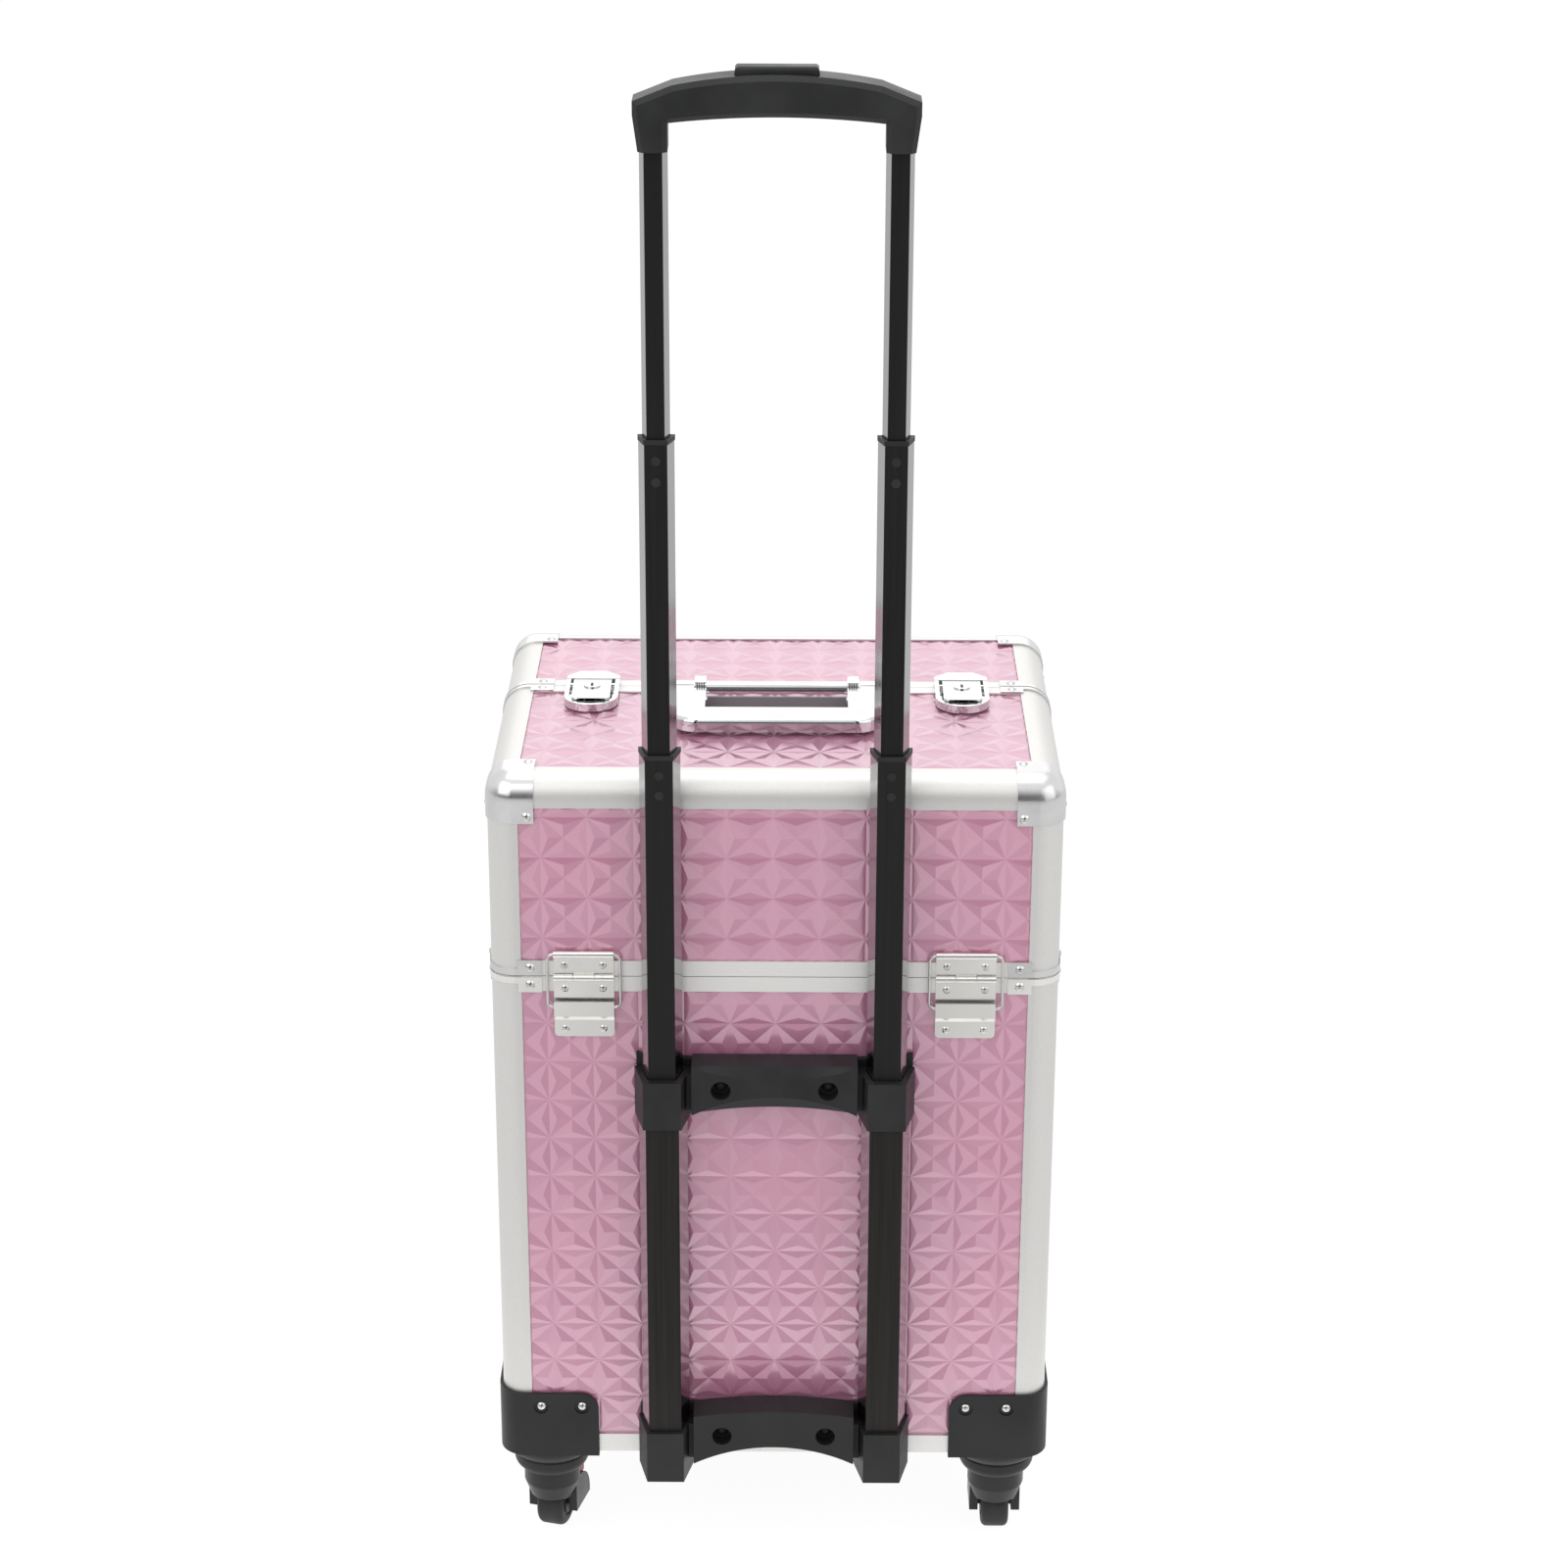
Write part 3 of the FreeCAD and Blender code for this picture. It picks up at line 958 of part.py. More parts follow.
def wheel():
    # a round-shouldered wheel turned about X, with a groove round its hub on each side
    half, bore = "(wheel_width / 2)", "axle_radius + axle_play"
    shoulder, flare = "wheel_radius - wheel_edge", "hub_radius + 2 * hub_groove"
    right = [(half, bore), (half, "hub_radius"), (f"{half} - hub_sink", "hub_radius"),
             (f"{half} - hub_sink", "hub_radius + hub_groove"), (half, flare),
             (half, shoulder, (f"{half} - wheel_edge", shoulder, "wheel_edge")),
             (f"{half} - wheel_edge", "wheel_radius")]
    left = [(f"-{half} + wheel_edge", "wheel_radius", (f"-{half} + wheel_edge", shoulder, "wheel_edge")),
            (f"-{half}", shoulder), (f"-{half}", flare), (f"-{half} + hub_sink", "hub_radius + hub_groove"),
            (f"-{half} + hub_sink", "hub_radius"), (f"-{half}", "hub_radius"), (f"-{half}", bore)]
    return turned("H_Axis", right + left)


def casters():
    node("corner_shoes", *both([shoe(end) for end in (-1, 1)]))
    for row in ("rear", "front"):
        for side in ("left", "right"):
            caster(side, row, "left_swivel" if (row, side) == ("rear", "left") else "0")


# Cantilever trays on parallel arms
def along(end, y):
    return f"{CENTRE} + ({y})" if end > 0 else f"{CENTRE} - ({y})"


def arm_pin(end, base_y, reach):
    # centre of a pin on an arm that leans towards the middle of the case
    return (along(end, f"{base_y} - {reach} * sin(arm_lean)"),
            f"{BASE} + arm_base_z + {reach} * cos(arm_lean)")


def arm(end, base_y, play):
    # built upright over its base pin, then leaned over
    x = ("arm_plane", "arm_plane + arm_steel")
    strip = fuse(block(x, ("-arm_half", "arm_half"), ("0", "arm_second")),
                 *[rod("arm_half", "arm_steel", "+x", x[0], "0", height) for height in ("0", "arm_second")])
    holes = [rod("arm_pin + arm_play", "arm_steel", "+x", x[0], "0", "0")]
    holes += [rod(f"arm_pin + {play}", "arm_steel", "+x", x[0], "0", reach)
              for reach in ("arm_first", "arm_second")]
    lean = "arm_lean" if end > 0 else "-arm_lean"
    piece = turn(cut(strip, *holes), (1, 0, 0), number(lean))
    place(piece, "0", along(end, base_y), f"{BASE} + arm_base_z")
    return piece


def tray(end, low, reach):
    y = (along(1, "tray_split"), along(1, "tray_front")) if end > 0 else \
        (along(1, "tray_back"), along(1, "tray_split - tray_gap"))
    z = (f"{BASE} + {low}", f"{BASE} + {low} + tray_tall")
    wide = ("-tray_half", "tray_half")
    hollow = [(f"{first} + tray_wall", f"{last} - tray_wall") for first, last in (wide, y)]
    shell = cut(block(wide, y, z), block(*hollow, (f"{z[0]} + tray_wall", z[1])))
    pins = [rod("arm_pin", "arm_plane + arm_steel + arm_pin_end - tray_half", "+x", "tray_half",
                *arm_pin(end, base_y, reach)) for base_y in ("arm_fore_y", "arm_aft_y")]
    return fuse(shell, *both(pins))


def trays():
    for name, end in (("front", 1), ("rear", -1)):
        fore, aft = [both([arm(end, base_y, play)])
                     for base_y, play in (("arm_fore_y", "arm_play"), ("arm_aft_y", "arm_loose"))]
        if end > 0:
            node("front_tray_fore_arms", *fore)
            node("front_tray_aft_arms", *aft)
        else:
            node("rear_tray_arms", *fore, *aft)
        node(f"{name}_lower_tray", tray(end, "tray_low", "arm_first"))
        node(f"{name}_upper_tray", tray(end, "tray_high", "arm_second"))


def lower_fasteners():
    heads = [head for end in (-1, 1) for head in shoe_rivets(end) + clip_rivets(end, LOWER_CLIP)]
    heads += [bracket_screw(height) for height in ("upper_screw_z", "lower_screw_z")]
    heads += leaf_screws(-1, "leaf_rise / 2", "-") + leaf_screws(-1, "leaf_tail - leaf_tail_screw", "-")
    heads += leaf_screws(1, "front_screw_drop", "-")
    pin_length = f"{SIDE} - lip - board - arm_plane + arm_pin_proud"
    heads += [rod("arm_pin", pin_length, "+x", "arm_plane - arm_pin_proud", *arm_pin(end, base_y, "0"))
              for end in (-1, 1) for base_y in ("arm_fore_y", "arm_aft_y")]
    node("lower_box_rivets", *both(heads))


def export():
    doc.recompute()
    faults = [item.Name for item in doc.Objects if {"Invalid", "Error"} & set(item.State)]
    faults += [whole.Label for whole in nodes if whole.Shape.isNull() or not whole.Shape.isValid()]
    if faults:
        raise RuntimeError(f"unsound pieces: {faults}")
    os.makedirs("parts", exist_ok=True)
    for whole in nodes:
        whole.Shape.exportStep(f"parts/{whole.Label}.step")
        print(whole.Label, len(whole.Shape.Solids), round(whole.Shape.Volume))
    print(len(nodes), "nodes")


boards()
extrusions()
rails()
fittings()
hinges()
latches()
carry_handle()
stages()
brackets()
grip()
casters()
trays()
lower_fasteners()
export()
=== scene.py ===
# Rolling makeup train case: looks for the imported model, in metres, trolley side towards -Y
import math
import bmesh
import bpy
from mathutils import Matrix, Vector


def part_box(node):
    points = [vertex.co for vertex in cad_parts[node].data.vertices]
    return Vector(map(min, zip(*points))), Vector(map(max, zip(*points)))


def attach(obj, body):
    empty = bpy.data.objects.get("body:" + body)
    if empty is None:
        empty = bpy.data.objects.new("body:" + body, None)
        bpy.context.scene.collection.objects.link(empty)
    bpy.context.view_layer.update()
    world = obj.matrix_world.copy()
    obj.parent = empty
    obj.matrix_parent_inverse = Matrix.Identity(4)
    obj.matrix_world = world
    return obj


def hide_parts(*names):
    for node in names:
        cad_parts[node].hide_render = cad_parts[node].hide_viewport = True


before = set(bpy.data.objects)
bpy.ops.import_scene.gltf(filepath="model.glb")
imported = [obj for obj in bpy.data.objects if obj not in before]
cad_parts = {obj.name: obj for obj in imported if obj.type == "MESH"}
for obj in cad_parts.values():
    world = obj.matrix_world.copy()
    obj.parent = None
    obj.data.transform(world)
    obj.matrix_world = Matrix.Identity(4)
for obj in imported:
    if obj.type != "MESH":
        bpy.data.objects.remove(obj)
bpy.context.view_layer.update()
scene = bpy.context.scene
print("frame loaded:", len(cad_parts), "nodes")


# shader maths on sockets
class Sock:
    def __init__(self, graph, socket):
        self.graph, self.socket = graph, socket

    def math(self, operation, other=None, swapped=False):
        values = [self] if other is None else ([other, self] if swapped else [self, other])
        return self.graph.node("ShaderNodeMath", {"operation": operation}, dict(enumerate(values)))

    def __add__(self, other):
        return self.math("ADD", other)

    def __radd__(self, other):
        return self.math("ADD", other)

    def __sub__(self, other):
        return self.math("SUBTRACT", other)

    def __rsub__(self, other):
        return self.math("SUBTRACT", other, True)

    def __mul__(self, other):
        return self.math("MULTIPLY", other)

    def __rmul__(self, other):
        return self.math("MULTIPLY", other)

    def __gt__(self, other):
        return self.math("GREATER_THAN", other)

    def __lt__(self, other):
        return self.math("LESS_THAN", other)

    def __abs__(self):
        return self.math("ABSOLUTE")


class Graph:
    def __init__(self, owner):
        owner.use_nodes = True
        self.tree = owner.node_tree
        self.tree.nodes.clear()

    def node(self, kind, settings=None, sockets=None, output=0):
        made = self.tree.nodes.new(kind)
        for key, value in (settings or {}).items():
            setattr(made, key, value)
        for key, value in (sockets or {}).items():
            if isinstance(value, Sock):
                self.tree.links.new(value.socket, made.inputs[key])
            else:
                made.inputs[key].default_value = value
        return None if output is None else Sock(self, made.outputs[output])

    def axes(self, where):
        split = self.node("ShaderNodeSeparateXYZ", {}, {0: where})
        return [Sock(self, output) for output in split.socket.node.outputs]

    def range(self, value, low, high, first=0.3, last=0.7):       # noise lies mostly from 0.3 to 0.7
        return self.node("ShaderNodeMapRange", {}, {0: value, 1: first, 2: last, 3: low, 4: high})


class Look(Graph):
    def __init__(self, name, **fixed):
        self.material = bpy.data.materials.new(name)
        super().__init__(self.material)
        self.shader = self.tree.nodes.new("ShaderNodeBsdfPrincipled")
        output = self.tree.nodes.new("ShaderNodeOutputMaterial")
        self.tree.links.new(self.shader.outputs[0], output.inputs[0])
        for socket, value in fixed.items():
            self.shader.inputs[socket.replace("_", " ")].default_value = value
        self.spot = self.node("ShaderNodeTexCoord", output="Object")

    def feed(self, socket, value):
        self.tree.links.new(value.socket, self.shader.inputs[socket])

    def noise(self, scale, detail=3.0, stretch=(1, 1, 1)):
        where = self.node("ShaderNodeMapping", {}, {"Vector": self.spot, "Scale": stretch})
        return self.node("ShaderNodeTexNoise", {}, {"Vector": where, "Scale": scale, "Detail": detail})

    def mix(self, factor, first, second):
        return self.node("ShaderNodeMix", {"data_type": "RGBA"}, {0: factor, 6: first, 7: second}, 2)

    def fade(self, pattern, colours):             # one colour into the other along a noise pattern
        return self.mix(self.range(pattern, 0.0, 1.0), *colours)

    def bump(self, height, strength, distance=0.0004):
        sockets = {"Strength": strength, "Distance": distance, "Height": height}
        self.feed("Normal", self.node("ShaderNodeBump", {}, sockets))


def rgb(red, green, blue):
    return (red, green, blue, 1.0)


# finishes, first the pairs of colours of the steels and the black plastic
tones = {
    "chrome": (rgb(0.740, 0.738, 0.735), rgb(0.640, 0.640, 0.642)),
    "hinge": (rgb(0.885, 0.872, 0.842), rgb(0.835, 0.822, 0.795)),
    "rivet": (rgb(0.690, 0.685, 0.670), rgb(0.560, 0.555, 0.545)),
    "black": (rgb(0.0125, 0.0130, 0.0140), rgb(0.0240, 0.0245, 0.0260)),
}

foilLook = {"colours": (rgb(0.605, 0.234, 0.358), rgb(0.570, 0.239, 0.370)), "rough": (0.30, 0.40),
            "clouds": 9.0, "mottle": 55.0, "skin": 420.0, "skinBump": 0.05}


def foilFinish():
    look = Look("embossedPinkFoil", Metallic=0.15, Coat_Weight=1.0, Coat_Roughness=0.17, Coat_IOR=2.4)
    look.feed("Base Color", look.fade(look.noise(foilLook["clouds"]), foilLook["colours"]))
    look.feed("Roughness", look.range(look.noise(foilLook["mottle"]), *foilLook["rough"]))
    look.bump(look.noise(foilLook["skin"], detail=2.0), foilLook["skinBump"])
    return look.material


liningLook = {"colours": (rgb(0.012, 0.012, 0.013), rgb(0.026, 0.026, 0.028)), "rough": (0.75, 0.95),
              "weave": 900.0, "weaveBump": 0.35}


def liningFinish():
    look = Look("blackBoardLining", Specular_IOR_Level=0.3)
    weave = look.noise(liningLook["weave"], detail=1.0)
    look.feed("Base Color", look.fade(weave, liningLook["colours"]))
    look.feed("Roughness", look.range(weave, *liningLook["rough"]))
    look.bump(weave, liningLook["weaveBump"])
    return look.material


postLook = {"colours": (rgb(0.775, 0.768, 0.750), rgb(0.725, 0.718, 0.700)), "metallic": 0.88,
            "bump": 0.08}
# the rails are painted lighter and less metallic than the posts: painted brightness that stands in for the
# reflection they show
railLook = {"colours": (rgb(0.880, 0.872, 0.852), rgb(0.820, 0.812, 0.792)), "metallic": 0.55,
            "bump": 0.14}
extrusion = {"rough": (0.44, 0.54), "grain": 1500.0, "grainShare": 0.12, "depth": 0.00012,
             "ribPitch": 0.0021, "topRailsAbove": 0.4370}


def extrusionFinish(name, metal, ribbed=False):
    look = Look(name, Metallic=metal["metallic"])
    grain = look.noise(extrusion["grain"], detail=2.0)
    look.feed("Base Color", look.fade(grain, metal["colours"]))
    look.feed("Roughness", look.range(grain, *extrusion["rough"]))
    height = grain * extrusion["grainShare"]
    if ribbed:                                    # fine ribs, counted in z, or in y above the seam
        y, z = look.axes(look.spot)[1:]
        across = z + (z > extrusion["topRailsAbove"]) * (y - z)
        height = height + (across * (2 * math.pi / extrusion["ribPitch"])).math("SINE")
    look.bump(height, metal["bump"], extrusion["depth"])
    return look.material


steelLook = {"smear": 38.0, "dents": 150.0}


def steelFinish(name, colours, rough, dentBump):
    look = Look(name, Metallic=1.0)
    smear = look.noise(steelLook["smear"], detail=4.0)
    look.feed("Base Color", look.fade(smear, colours))
    look.feed("Roughness", look.range(smear, *rough))
    look.bump(look.noise(steelLook["dents"], detail=2.0), dentBump)
    return look.material


fastenerLook = {"smear": 60.0, "rough": (0.10, 0.20), "blackRough": 0.3, "bracketScrewX": 0.035,
                "bracketScrewReach": 0.008, "bracketScrewBehind": -0.14}


# bright steel screws, except the trolley brackets' screws, which carry painted shade in black
def lowerFastenerFinish():
    look = Look("lowerFasteners", Specular_IOR_Level=0.3)
    x, y = look.axes(look.spot)[:2]
    beside = abs(abs(x) - fastenerLook["bracketScrewX"]) < fastenerLook["bracketScrewReach"]
    black = beside * (y < fastenerLook["bracketScrewBehind"])     # the trolley brackets' screws, painted black as painted shade for their deep holes
    smear = look.noise(fastenerLook["smear"])
    look.feed("Base Color", look.mix(black, look.fade(smear, tones["rivet"]), tones["black"][0]))
    look.feed("Metallic", 1.0 - black)
    look.feed("Roughness", look.range(smear, *fastenerLook["rough"]) + black * fastenerLook["blackRough"])
    return look.material


plasticLook = {"patch": 26.0, "grainBump": 0.16}


def plasticFinish(name, rough, grain):
    look = Look(name, Specular_IOR_Level=0.3)
    patch = look.noise(plasticLook["patch"], detail=4.0)
    look.feed("Base Color", look.fade(patch, tones["black"]))
    look.feed("Roughness", look.range(patch, *rough))
    look.bump(look.noise(grain, detail=2.0), plasticLook["grainBump"])
    return look.material


tubeLook = {"face": rgb(0.0060, 0.0060, 0.0063), "streaks": rgb(0.0095, 0.0093, 0.0092),
            "edge": rgb(0.400, 0.395, 0.398), "centre": 0.071, "rough": (0.36, 0.46), "edgeShine": 0.27,
            "streakScale": 420.0, "streakStretch": (1, 1, 0.02), "streakBump": 0.06}


def tubeFinish(name, width, bevel, face=tubeLook["face"]):
    # black faces between bare bevelled edges
    look = Look(name, Specular_IOR_Level=0.22)
    x = look.axes(look.spot)[0]
    edge = abs(abs(x) - tubeLook["centre"]) > width / 2 - bevel
    streak = look.noise(tubeLook["streakScale"], 2.0, tubeLook["streakStretch"])
    black = look.fade(streak, (face, tubeLook["streaks"]))
    look.feed("Base Color", look.mix(edge, black, tubeLook["edge"]))
    look.feed("Metallic", edge)
    look.feed("Roughness", look.range(streak, *tubeLook["rough"]) - edge * tubeLook["edgeShine"])
    look.bump(streak, tubeLook["streakBump"])
    return look.material


casterLook = {"red": rgb(0.45, 0.035, 0.030), "stemRadius": 0.01885, "wheelRadius": 0.02105,
              "axleY": 0.007, "axleZ": 0.017, "insertLow": 0.0335, "insertHigh": 0.0445,
              "insertFrom": 0.0075, "rough": (0.34, 0.5), "patch": 40.0, "grain": 1300.0, "grainBump": 0.12}


def casterFinish(name, swivel, spot):
    # black fork with a red insert between stem and wheel, found in the fork's own turned frame
    look = Look(name, Specular_IOR_Level=0.3)
    sockets = {"Vector": look.spot, "Location": (*spot, 0.0), "Rotation": (0, 0, swivel)}
    x, y, z = look.axes(look.node("ShaderNodeMapping", {"vector_type": "TEXTURE"}, sockets))
    fromStem = x * x + y * y
    behind, above = y - casterLook["axleY"], z - casterLook["axleZ"]
    fromAxle = behind * behind + above * above
    clear = (fromStem > casterLook["stemRadius"] ** 2) * (fromAxle > casterLook["wheelRadius"] ** 2)
    level = (z > casterLook["insertLow"]) * (z < casterLook["insertHigh"])
    red = clear * level * (y > casterLook["insertFrom"])
    patch = look.noise(casterLook["patch"], detail=4.0)
    look.feed("Base Color", look.mix(red, look.fade(patch, tones["black"]), casterLook["red"]))
    look.feed("Roughness", look.range(patch, *casterLook["rough"]))
    look.bump(look.noise(casterLook["grain"], detail=2.0), casterLook["grainBump"])
    return look.material


treadLook = {"colours": (rgb(0.010, 0.010, 0.010), rgb(0.030, 0.029, 0.028)), "rough": (0.5, 0.75),
             "scuff": 180.0, "scuffBump": 0.2}


def wheelFinish():
    look = Look("casterTread", Specular_IOR_Level=0.4)
    scuff = look.noise(treadLook["scuff"], detail=5.0)
    look.feed("Base Color", look.fade(scuff, treadLook["colours"]))
    look.feed("Roughness", look.range(scuff, *treadLook["rough"]))
    look.bump(scuff, treadLook["scuffBump"])
    return look.material


baseLook = {"strip": rgb(0.200, 0.205, 0.210), "stripBefore": 0.0030, "stripBelow": 0.5668,
            "smear": 60.0, "rough": (0.07, 0.14), "stripRough": 0.4}


def handleBaseFinish():
    look = Look("carryHandleBase")
    y, z = look.axes(look.spot)[1:]
    strip = (y < baseLook["stripBefore"]) * (z < baseLook["stripBelow"])      # the grey wall by the bar
    smear = look.noise(baseLook["smear"])
    look.feed("Base Color", look.mix(strip, look.fade(smear, tones["chrome"]), baseLook["strip"]))
    look.feed("Metallic", 1.0 - strip)
    look.feed("Roughness", look.range(smear, *baseLook["rough"]) + strip * baseLook["stripRough"])
    return look.material


looks = {
    "foil": foilFinish(),
    "lining": liningFinish(),
    "chrome": steelFinish("polishedSteel", tones["chrome"], rough=(0.05, 0.13), dentBump=0.03),
    "fasteners": steelFinish("rivetSteel", tones["rivet"], rough=(0.08, 0.18), dentBump=0.03),
    "hingeSteel": steelFinish("hingeSteel", tones["hinge"], rough=(0.18, 0.28), dentBump=0.010),
    "capSteel": steelFinish("cornerCapSteel", tones["chrome"], rough=(0.20, 0.30), dentBump=0.010),
    "satin": extrusionFinish("satinAluminium", postLook),
    "ribs": extrusionFinish("ribbedRail", railLook, ribbed=True),
    "plastic": plasticFinish("mouldedBlack", rough=(0.42, 0.56), grain=1100.0),
    "grip": plasticFinish("gripBlack", rough=(0.36, 0.5), grain=1500.0),
    "tray": plasticFinish("trayBlack", rough=(0.35, 0.55), grain=700.0),
    "tread": wheelFinish(),
    "handleBase": handleBaseFinish(),
    "lowerFasteners": lowerFastenerFinish(),
    "outerTube": tubeFinish("outerTube", width=0.031, bevel=0.0049, face=rgb(0.0200, 0.0170, 0.0150)),
    "firstTube": tubeFinish("firstTube", width=0.0254, bevel=0.0041, face=rgb(0.0125, 0.0125, 0.0122)),
    "secondTube": tubeFinish("secondTube", width=0.0215, bevel=0.0039),
    "thirdTube": tubeFinish("thirdTube", width=0.0166, bevel=0.0029),
}
nodeLooks = {
    "lining": ["bottom_panel"],
    "satin": ["lower_corner_posts", "bottom_edge_trims", "rear_lid_edge_trims", "front_lid_edge_trims"],
    "ribs": ["lower_rim_rails", "rear_lid_rails", "front_lid_rails"],
    "chrome": ["latch_base_plates", "latch_catch_plates", "latch_lever_left", "latch_lever_right",
               "carry_handle_grip", "rear_stop_loops"],
    "capSteel": ["rear_lid_corner_fittings", "front_lid_corner_fittings"],
    "hingeSteel": ["lower_rim_clips", "hinge_lower_leaves", "rear_hinge_upper_leaves",
                   "front_hinge_upper_leaves", "rear_tray_arms", "front_tray_fore_arms",
                   "front_tray_aft_arms"],
    "fasteners": ["rear_lid_rivets", "front_lid_rivets", "hinge_pins"],
    "lowerFasteners": ["lower_box_rivets"],
    "handleBase": ["carry_handle_base"],
    "plastic": ["trolley_upper_bracket", "trolley_lower_bracket", "corner_shoes",
                "trolley_first_stage_collars", "trolley_second_stage_collars"],
    "grip": ["trolley_grip", "grip_release_button"],
    "tray": ["front_lower_tray", "front_upper_tray", "rear_lower_tray", "rear_upper_tray"],
    "tread": [f"caster_wheel_{row}_{side}" for row in ("rear", "front") for side in ("left", "right")],
    "outerTube": ["trolley_outer_tubes"],
    "firstTube": ["trolley_first_stage_tubes"],
    "secondTube": ["trolley_second_stage_tubes"],
    "thirdTube": ["trolley_third_stage_tubes"],
}
casterSpots = {"x": {"left": -0.150, "right": 0.150}, "y": {"rear": -0.0979, "front": 0.1221},
               "turned": {"rear_left": -15}}      # degrees, of the one caster that isn't straight


def dress(obj, material):
    obj.data.materials.clear()
    obj.data.materials.append(material)


for finish, names in nodeLooks.items():
    for name in names:
        dress(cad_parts[name], looks[finish])
for row, spotY in casterSpots["y"].items():
    for side, spotX in casterSpots["x"].items():
        swivel = math.radians(casterSpots["turned"].get(f"{row}_{side}", 0))
        name = f"caster_fork_{row}_{side}"
        dress(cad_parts[name], casterFinish(name + "Look", swivel, (spotX, spotY)))
print("finishes on the packed nodes done")


# embossed foil boards, each standing for its plain panel
emboss = {"cellWide": 0.0290, "cellTall": 0.0273, "apex": 0.00045, "valley": -0.00045, "studInset": 0.07,
          "rim": 0.0011, "board": 0.005, "liningBelow": -0.001, "merge": 1e-7}
sides = {
    "back": (Vector((1, 0, 0)), Vector((0, 0, 1)), Vector((0, -1, 0))),
    "front": (Vector((-1, 0, 0)), Vector((0, 0, 1)), Vector((0, 1, 0))),
    "right": (Vector((0, 1, 0)), Vector((0, 0, 1)), Vector((1, 0, 0))),
    "left": (Vector((0, -1, 0)), Vector((0, 0, 1)), Vector((-1, 0, 0))),
    "top": (Vector((1, 0, 0)), Vector((0, 1, 0)), Vector((0, 0, 1))),
}


def studGrid(part, star, low, high):
    # whole cells over low to high, a star of the relief at one corner, each cell's quarters raised to studs
    size = (emboss["cellWide"], emboss["cellTall"])
    first = [math.floor((low[axis] - star[axis]) / size[axis]) for axis in range(2)]
    count = [math.ceil((high[axis] - star[axis]) / size[axis]) - first[axis] for axis in range(2)]
    bmesh.ops.create_grid(part, x_segments=count[0], y_segments=count[1], size=0.5)      # from -0.5 to 0.5
    for vert in part.verts:
        cells = [first[axis] + (vert.co[axis] + 0.5) * count[axis] for axis in range(2)]
        spot = [star[axis] + size[axis] * cells[axis] for axis in range(2)]
        vert.co = Vector((*spot, emboss["valley"]))
    bmesh.ops.poke(part, faces=part.faces[:])     # quarters of each cell
    for stud in bmesh.ops.poke(part, faces=part.faces[:])["verts"]:
        middle = [star[axis] + size[axis] * (math.floor((stud.co[axis] - star[axis]) / size[axis]) + 0.5)
                  for axis in range(2)]
        stud.co = stud.co.lerp(Vector((*middle, emboss["apex"])), emboss["studInset"])
        stud.co.z = emboss["apex"]


def cutBoard(part, low, high, shown):
    # trims the relief to the board, and creases it where it fades under the edges
    cuts = [((low[0], 0, 0), (-1, 0, 0), True), ((high[0], 0, 0), (1, 0, 0), True),
            ((0, low[1], 0), (0, -1, 0), True), ((0, high[1], 0), (0, 1, 0), True)]
    for inset in (0.0, emboss["rim"]):
        cuts += [((shown[0] + inset, 0, 0), (1, 0, 0), False), ((shown[1] - inset, 0, 0), (1, 0, 0), False),
                 ((0, shown[2] + inset, 0), (0, 1, 0), False), ((0, shown[3] - inset, 0), (0, 1, 0), False)]
    for spot, normal, trimmed in cuts:
        geom = part.verts[:] + part.edges[:] + part.faces[:]
        bmesh.ops.bisect_plane(part, geom=geom, plane_co=spot, plane_no=normal, dist=emboss["merge"],
                               clear_outer=trimmed)
    for vert in part.verts:
        inside = min(vert.co.x - shown[0], shown[1] - vert.co.x, vert.co.y - shown[2], shown[3] - vert.co.y)
        risen = min(1.0, max(0.0, inside / emboss["rim"]))
        vert.co.z = min(vert.co.z, 0.0) + max(vert.co.z, 0.0) * risen


def embossedBoard(bm, side, low, high, star, shown):
    # low, high: the CAD panel's corners; shown: (lowU, highU, lowV, highV) of the part that no edge laps
    axisU, axisV, out = sides[side]
    spans = [sorted((Vector(low).dot(axis), Vector(high).dot(axis))) for axis in (axisU, axisV, out)]
    first, last = [span[0] for span in spans[:2]], [span[1] for span in spans[:2]]
    rear, face = spans[2]
    part = bmesh.new()
    studGrid(part, star, first, last)
    cutBoard(part, first, last, shown)
    rimEdges = [edge for edge in part.edges if edge.is_boundary]
    walls = bmesh.ops.extrude_edge_only(part, edges=rimEdges)["geom"]
    for vert in [item for item in walls if isinstance(item, bmesh.types.BMVert)]:
        vert.co.z = rear - face
    rearEdges = [edge for edge in part.edges if edge.is_boundary]
    bmesh.ops.edgeloop_fill(part, edges=rearEdges)
    bmesh.ops.recalc_face_normals(part, faces=part.faces[:])
    for item in part.faces:
        item.material_index = 0 if item.calc_center_median().z > emboss["liningBelow"] else 1
    place = Matrix((axisU, axisV, out)).transposed().to_4x4()
    place.translation = out * face
    bmesh.ops.transform(part, matrix=place, verts=part.verts[:])
    mesh = bpy.data.meshes.new("part")
    part.to_mesh(mesh)
    part.free()
    bm.from_mesh(mesh)
    bpy.data.meshes.remove(mesh)


def finishPiece(bm, name, body, *materials):
    mesh = bpy.data.meshes.new(name)
    for material in materials:                    # before the faces come in, so that they keep their index
        mesh.materials.append(material)
    bm.to_mesh(mesh)
    bm.free()
    piece = bpy.data.objects.new(name, mesh)
    scene.collection.objects.link(piece)
    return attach(piece, body)


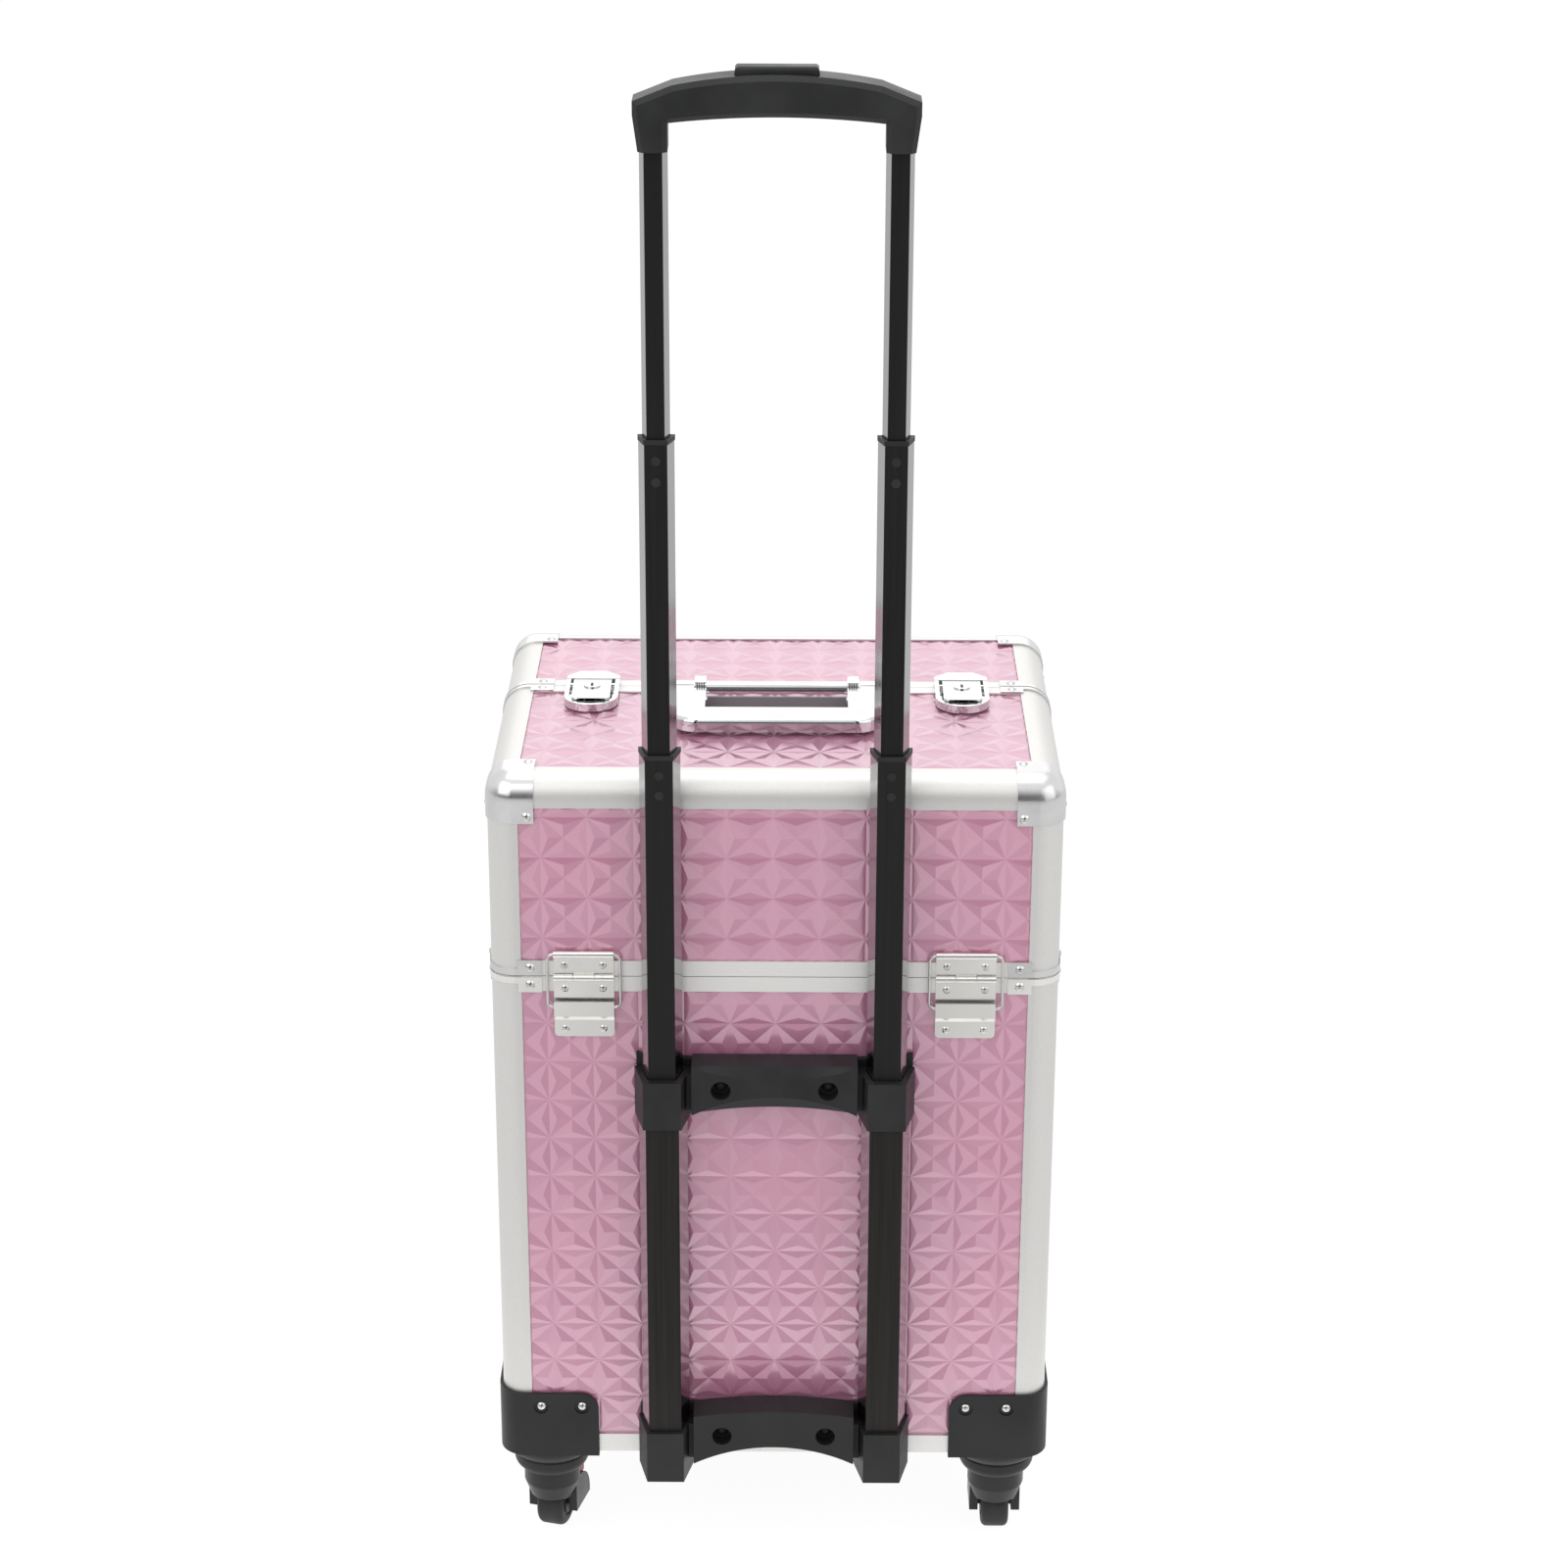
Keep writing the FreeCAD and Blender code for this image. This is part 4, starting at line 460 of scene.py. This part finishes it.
case = {"side": 0.180, "back": -0.1279, "front": 0.1521, "split": 0.0381, "base": 0.078, "seam": 0.426,
        "top": 0.560, "edge": 0.020, "rail": 0.0105, "trim": 0.013}
starSpots = {"lowerX": 0.0005, "lidX": -0.0014, "sideY": 0.012, "topY": -0.0768, "lowerZ": 0.2835,
             "lidZ": 0.4790}
wideShown = (-case["side"] + case["edge"], case["side"] - case["edge"])
deepShown = (case["back"] + case["edge"], case["front"] - case["edge"])
lowerShown = (case["base"] + case["trim"], case["seam"] - case["rail"])
lidShown = (case["seam"] + case["rail"], case["top"] - case["edge"])
rearShown = (deepShown[0], case["split"] - case["rail"])
frontShown = (case["split"] + case["rail"], deepShown[1])


def sidePair(starZ, deep, tall):
    # the right board and the left one, whose depth runs the other way
    return [("right", (starSpots["sideY"], starZ), deep, tall),
            ("left", (starSpots["sideY"], starZ), (-deep[1], -deep[0]), tall)]


lowerStar, lidStar = (starSpots["lowerX"], starSpots["lowerZ"]), (starSpots["lidX"], starSpots["lidZ"])
topStar, frontStar = (starSpots["lidX"], starSpots["topY"]), (-starSpots["lidX"], starSpots["lidZ"])
boards = {
    "lower_back_panel": ("lower_box", [("back", lowerStar, wideShown, lowerShown)]),
    "lower_front_panel": ("lower_box", [("front", lowerStar, wideShown, lowerShown)]),
    "lower_side_panels": ("lower_box", sidePair(starSpots["lowerZ"], deepShown, lowerShown)),
    "rear_lid_back_panel": ("rear_lid", [("back", lidStar, wideShown, lidShown)]),
    "rear_lid_top_panel": ("rear_lid", [("top", topStar, wideShown, rearShown)]),
    "rear_lid_side_panels": ("rear_lid", sidePair(starSpots["lidZ"], rearShown, lidShown)),
    "front_lid_front_panel": ("front_lid", [("front", frontStar, wideShown, lidShown)]),
    "front_lid_top_panel": ("front_lid", [("top", topStar, wideShown, frontShown)]),
    "front_lid_side_panels": ("front_lid", sidePair(starSpots["lidZ"], frontShown, lidShown)),
}
for name, (body, faces) in boards.items():
    bm = bmesh.new()
    low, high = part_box(name)
    for side, starSpot, shownU, shownV in faces:
        first, last = low.copy(), high.copy()
        if side == "right":
            first.x = last.x - emboss["board"]
        if side == "left":
            last.x = first.x + emboss["board"]
        embossedBoard(bm, side, first, last, starSpot, (*shownU, *shownV))
    board = finishPiece(bm, "foil_" + name, body, looks["foil"], looks["lining"])
    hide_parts(name)
print("embossed boards done:", len(boards))

# studio: white floor and world, soft boxes, camera at the photograph's angle
studio = {"floorSize": 14.0, "floorWhite": 0.86, "shadowShare": 0.14, "white": 1.10, "ambient": 0.62,
          "floorAmbient": 0.78, "nearGlow": 1.40, "farGlow": 0.86, "glowEdge": (0.30, 0.50), "shade": 0.50,
          "shadeSide": (0.06, 0.24), "shadeDepth": (-0.52, -0.38), "skyLow": 0.10, "skyHigh": 1.0,
          "skySlope": (0.6, 0.8), "skyEdge": (-0.35, 0.30), "lampAim": (0, 0, 0.45)}
floorMesh = bpy.data.meshes.new("floor")
floorBm = bmesh.new()
bmesh.ops.create_grid(floorBm, x_segments=1, y_segments=1, size=studio["floorSize"] / 2)
floorBm.to_mesh(floorMesh)
floorBm.free()
floor = bpy.data.objects.new("floor", floorMesh)
scene.collection.objects.link(floor)


def byRay(graph, seen, mirrored, ambient):
    # one strength for the camera, one for reflections and one for the light on the object
    toCamera = graph.node("ShaderNodeLightPath", output="Is Camera Ray")
    toMirror = graph.node("ShaderNodeLightPath", output="Is Glossy Ray") + \
        graph.node("ShaderNodeLightPath", output="Is Transmission Ray")
    return toCamera * seen + toMirror * mirrored + (1.0 - toCamera - toMirror) * ambient


def floorFinish():
    # white to the camera with a faint shadow; in reflections brightest by the case, greyer in front of it
    material = bpy.data.materials.new("paleFloor")
    graph = Graph(material)
    place = graph.node("ShaderNodeTexCoord", output="Object")
    x, y = graph.axes(place)[:2]
    away = graph.node("ShaderNodeVectorMath", {"operation": "LENGTH"}, {0: place}, 1)
    pool = graph.range(away, studio["nearGlow"], studio["farGlow"], *studio["glowEdge"])
    shade = graph.range(abs(x), studio["shade"], 0.0, *studio["shadeSide"]) * \
        graph.range(y, 1.0, 0.0, *studio["shadeDepth"])
    strength = byRay(graph, studio["white"], pool - shade, studio["floorAmbient"])
    glow = graph.node("ShaderNodeEmission", {}, {"Strength": strength})
    paint = graph.node("ShaderNodeBsdfDiffuse", {}, {"Color": rgb(*[studio["floorWhite"]] * 3)})
    both = graph.node("ShaderNodeMixShader", {}, {0: studio["shadowShare"], 1: glow, 2: paint})
    graph.node("ShaderNodeOutputMaterial", {}, {0: both}, None)
    return material


def studioWorld():
    # white to the camera; in reflections white behind the case and overhead, dark low behind the camera
    world = bpy.data.worlds.new("studio")
    graph = Graph(world)
    y, z = graph.axes(graph.node("ShaderNodeTexCoord", output="Generated"))[1:]
    height = y * studio["skySlope"][0] + z * studio["skySlope"][1]
    sky = graph.range(height, studio["skyLow"], studio["skyHigh"], *studio["skyEdge"])
    strength = byRay(graph, 1.0, sky, studio["ambient"])
    light = graph.node("ShaderNodeBackground", {}, {"Color": rgb(1, 1, 1), "Strength": strength})
    graph.node("ShaderNodeOutputWorld", {}, {0: light}, None)
    return world


floorMesh.materials.append(floorFinish())
scene.world = studioWorld()

softBoxes = {
    "keyBox": {"at": (-1.6, -2.2, 2.3), "size": 2.8, "power": 31.0},
    "fillBox": {"at": (1.9, -1.8, 1.6), "size": 2.4, "power": 16.5},
    "topBox": {"at": (0.1, 0.3, 2.7), "size": 1.8, "power": 11.0},
    "backBox": {"at": (0.0, 2.3, 1.9), "size": 2.2, "power": 7.0},
}
for name, box in softBoxes.items():
    lamp = bpy.data.lights.new(name, "AREA")
    lamp.shape, lamp.size, lamp.energy = "SQUARE", box["size"], box["power"]
    holder = bpy.data.objects.new(name, lamp)
    scene.collection.objects.link(holder)
    holder.location = box["at"]
    holder.rotation_euler = (Vector(studio["lampAim"]) - holder.location).to_track_quat("-Z", "Y").to_euler()

lens = {"at": (0.01157, -2.2031, 1.3857), "mm": 83.09, "sensor": 36.0, "yaw": -0.173, "pitch": 21.766,
        "roll": 0.206}
yaw, pitch, roll = (math.radians(lens[key]) for key in ("yaw", "pitch", "roll"))
ahead = Vector((math.sin(yaw) * math.cos(pitch), math.cos(yaw) * math.cos(pitch), -math.sin(pitch)))
right = Vector((math.cos(yaw), -math.sin(yaw), 0))
up = right.cross(ahead)
tiltedRight = right * math.cos(roll) + up * math.sin(roll)
tiltedUp = up * math.cos(roll) - right * math.sin(roll)
cameraData = bpy.data.cameras.new("photoView")
cameraData.lens, cameraData.sensor_width = lens["mm"], lens["sensor"]
camera = bpy.data.objects.new("photoView", cameraData)
scene.collection.objects.link(camera)
camera.matrix_world = Matrix.Translation(lens["at"]) @ \
    Matrix((tiltedRight, tiltedUp, -ahead)).transposed().to_4x4()
scene.camera = camera
scene.view_settings.view_transform = "Standard"
print("studio and camera done")
